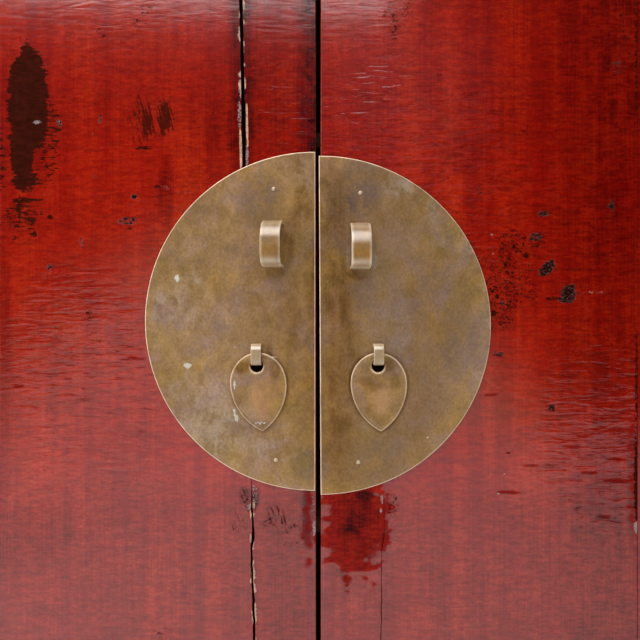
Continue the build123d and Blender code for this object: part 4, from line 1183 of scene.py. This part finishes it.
for part in frame["record"]["subparts"]:
    name = part["node"]
    if name in frame["record"]["behaviour"]["bodies"]["case"]:
        if name in ("floor_board", "lower_shelf", "upper_shelf"):
            paint_node(name, bare_wood_flat, CASE_EDGE)
        elif part["material_slot"] == "bare_wood":
            paint_node(name, bare_wood, CASE_EDGE)
        else:
            paint_node(name, case_lacquer, CASE_EDGE, worn_edge)


# ---- studio ----
SOFTBOXES = (
    # name, place, aim, width and height, watts
    ("key", (-2.1, -1.5, 1.35), (0.0, -0.25, 1.05), (1.2, 1.7), 22.0),
    ("overhead", (-1.0, -3.0, 4.16), (-0.9, -2.1, 0.0), (3.6, 4.2), 194.0),
    ("back_fill", (1.6, 3.0, 2.6), (0.0, 0.2, 0.9), (2.0, 2.0), 60.0),
)
FLOOR_HALF = 6.0
LENS, VIEW_DISTANCE = 38.16, 0.8
VIEW_X, VIEW_HEIGHT = mm(2, 1056.5)

DARK_FRONT = (0.014, 0.009, 0.004)
PALE_WALL = (0.84, 0.83, 0.81)
WALL_RIGHT = (0.84, 0.8, 0.56)  # warmer light along the right of the low wall
WALL_RIM = (0.8, 0.7, 0.46)  # and along its top
PALE_BACK = (0.42, 0.42, 0.43)
PALE_TOP = (0.3, 0.295, 0.29)
CEILING = (0.26, 0.215, 0.24)
# the low wall in front: its top as a slope seen from the doors, highest at WALL_X
WALL_TOP, WALL_X, WALL_FALL, WALL_BLUR = 0.12, -0.1, 1.48, 0.1
CEILING_X, CEILING_Z, CEILING_R = 0.12, 0.33, 0.2


def make_floor():
    mesh = bpy.data.meshes.new("floor")
    corners = ((-1, -1), (1, -1), (1, 1), (-1, 1))
    mesh.from_pydata([(FLOOR_HALF * x, FLOOR_HALF * y, 0) for x, y in corners], [], [range(4)])
    floor = link("floor", mesh)
    n = Shader("studio_floor")
    mesh.materials.append(n.finish(Base_Color=(0.92, 0.91, 0.9), Roughness=0.7))


def add_softbox(name, place, aim, size, power):
    lamp = bpy.data.lights.new(name, "AREA")
    lamp.shape = "RECTANGLE"
    lamp.size, lamp.size_y = size
    lamp.energy = power
    box = link(name, lamp)
    box.location = place
    box.rotation_euler = (Vector(aim) - Vector(place)).to_track_quat("-Z", "Y").to_euler()


def make_world():
    """A studio that is pale behind the cabinet and dark in front, above a pale low wall."""
    world = bpy.data.worlds.new("studio")
    bpy.context.scene.world = world
    world.use_nodes = True
    n = Nodes(world.node_tree)
    way = n.add("TexCoord").outputs["Generated"]
    x, y, z = n.add("SeparateXYZ", {0: way}).outputs
    ahead = n.most(n.times(y, -1.0), 0.15)
    aside, rise = n.math("DIVIDE", x, ahead), n.math("DIVIDE", z, ahead)
    off = n.plus(aside, -WALL_X)
    over = n.math("MULTIPLY_ADD", n.times(off, off), WALL_FALL, rise)
    low_wall = n.ramp(over, WALL_TOP + WALL_BLUR, WALL_TOP - WALL_BLUR)
    from_x, from_z = n.plus(aside, -CEILING_X), n.plus(rise, -CEILING_Z)
    far = n.math("SQRT", n.plus(n.times(from_x, from_x), n.times(from_z, from_z)))
    front = n.mix(n.ramp(far, CEILING_R, 0.1 * CEILING_R), DARK_FRONT, CEILING)
    wall = n.mix(n.ramp(aside, 0.0, 0.4), PALE_WALL, WALL_RIGHT)
    wall = n.mix(n.ramp(over, WALL_TOP - WALL_BLUR, WALL_TOP), wall, WALL_RIM)
    front = n.mix(low_wall, front, wall)
    pale = n.most(n.ramp(n.math("ABSOLUTE", aside), 0.9, 1.5), n.ramp(rise, 0.55, 0.8))
    front = n.mix(pale, front, PALE_BACK)
    behind = n.ramp(y, -0.35, 0.35)
    room = n.mix(n.ramp(z, 0.72, 0.9), n.mix(behind, front, PALE_BACK), PALE_TOP)
    background = world.node_tree.nodes["Background"]
    n.feed(background.inputs["Color"], room)


def make_camera():
    camera = bpy.data.cameras.new("camera")
    camera.lens = LENS
    view = link("camera", camera)
    view.location = (VIEW_X, plate_front_y - VIEW_DISTANCE, VIEW_HEIGHT)
    view.rotation_euler = (math.radians(90), 0, 0)
    bpy.context.scene.camera = view


make_floor()
make_world()
for softbox in SOFTBOXES:
    add_softbox(*softbox)
make_camera()
bpy.context.scene.view_settings.view_transform = "Standard"
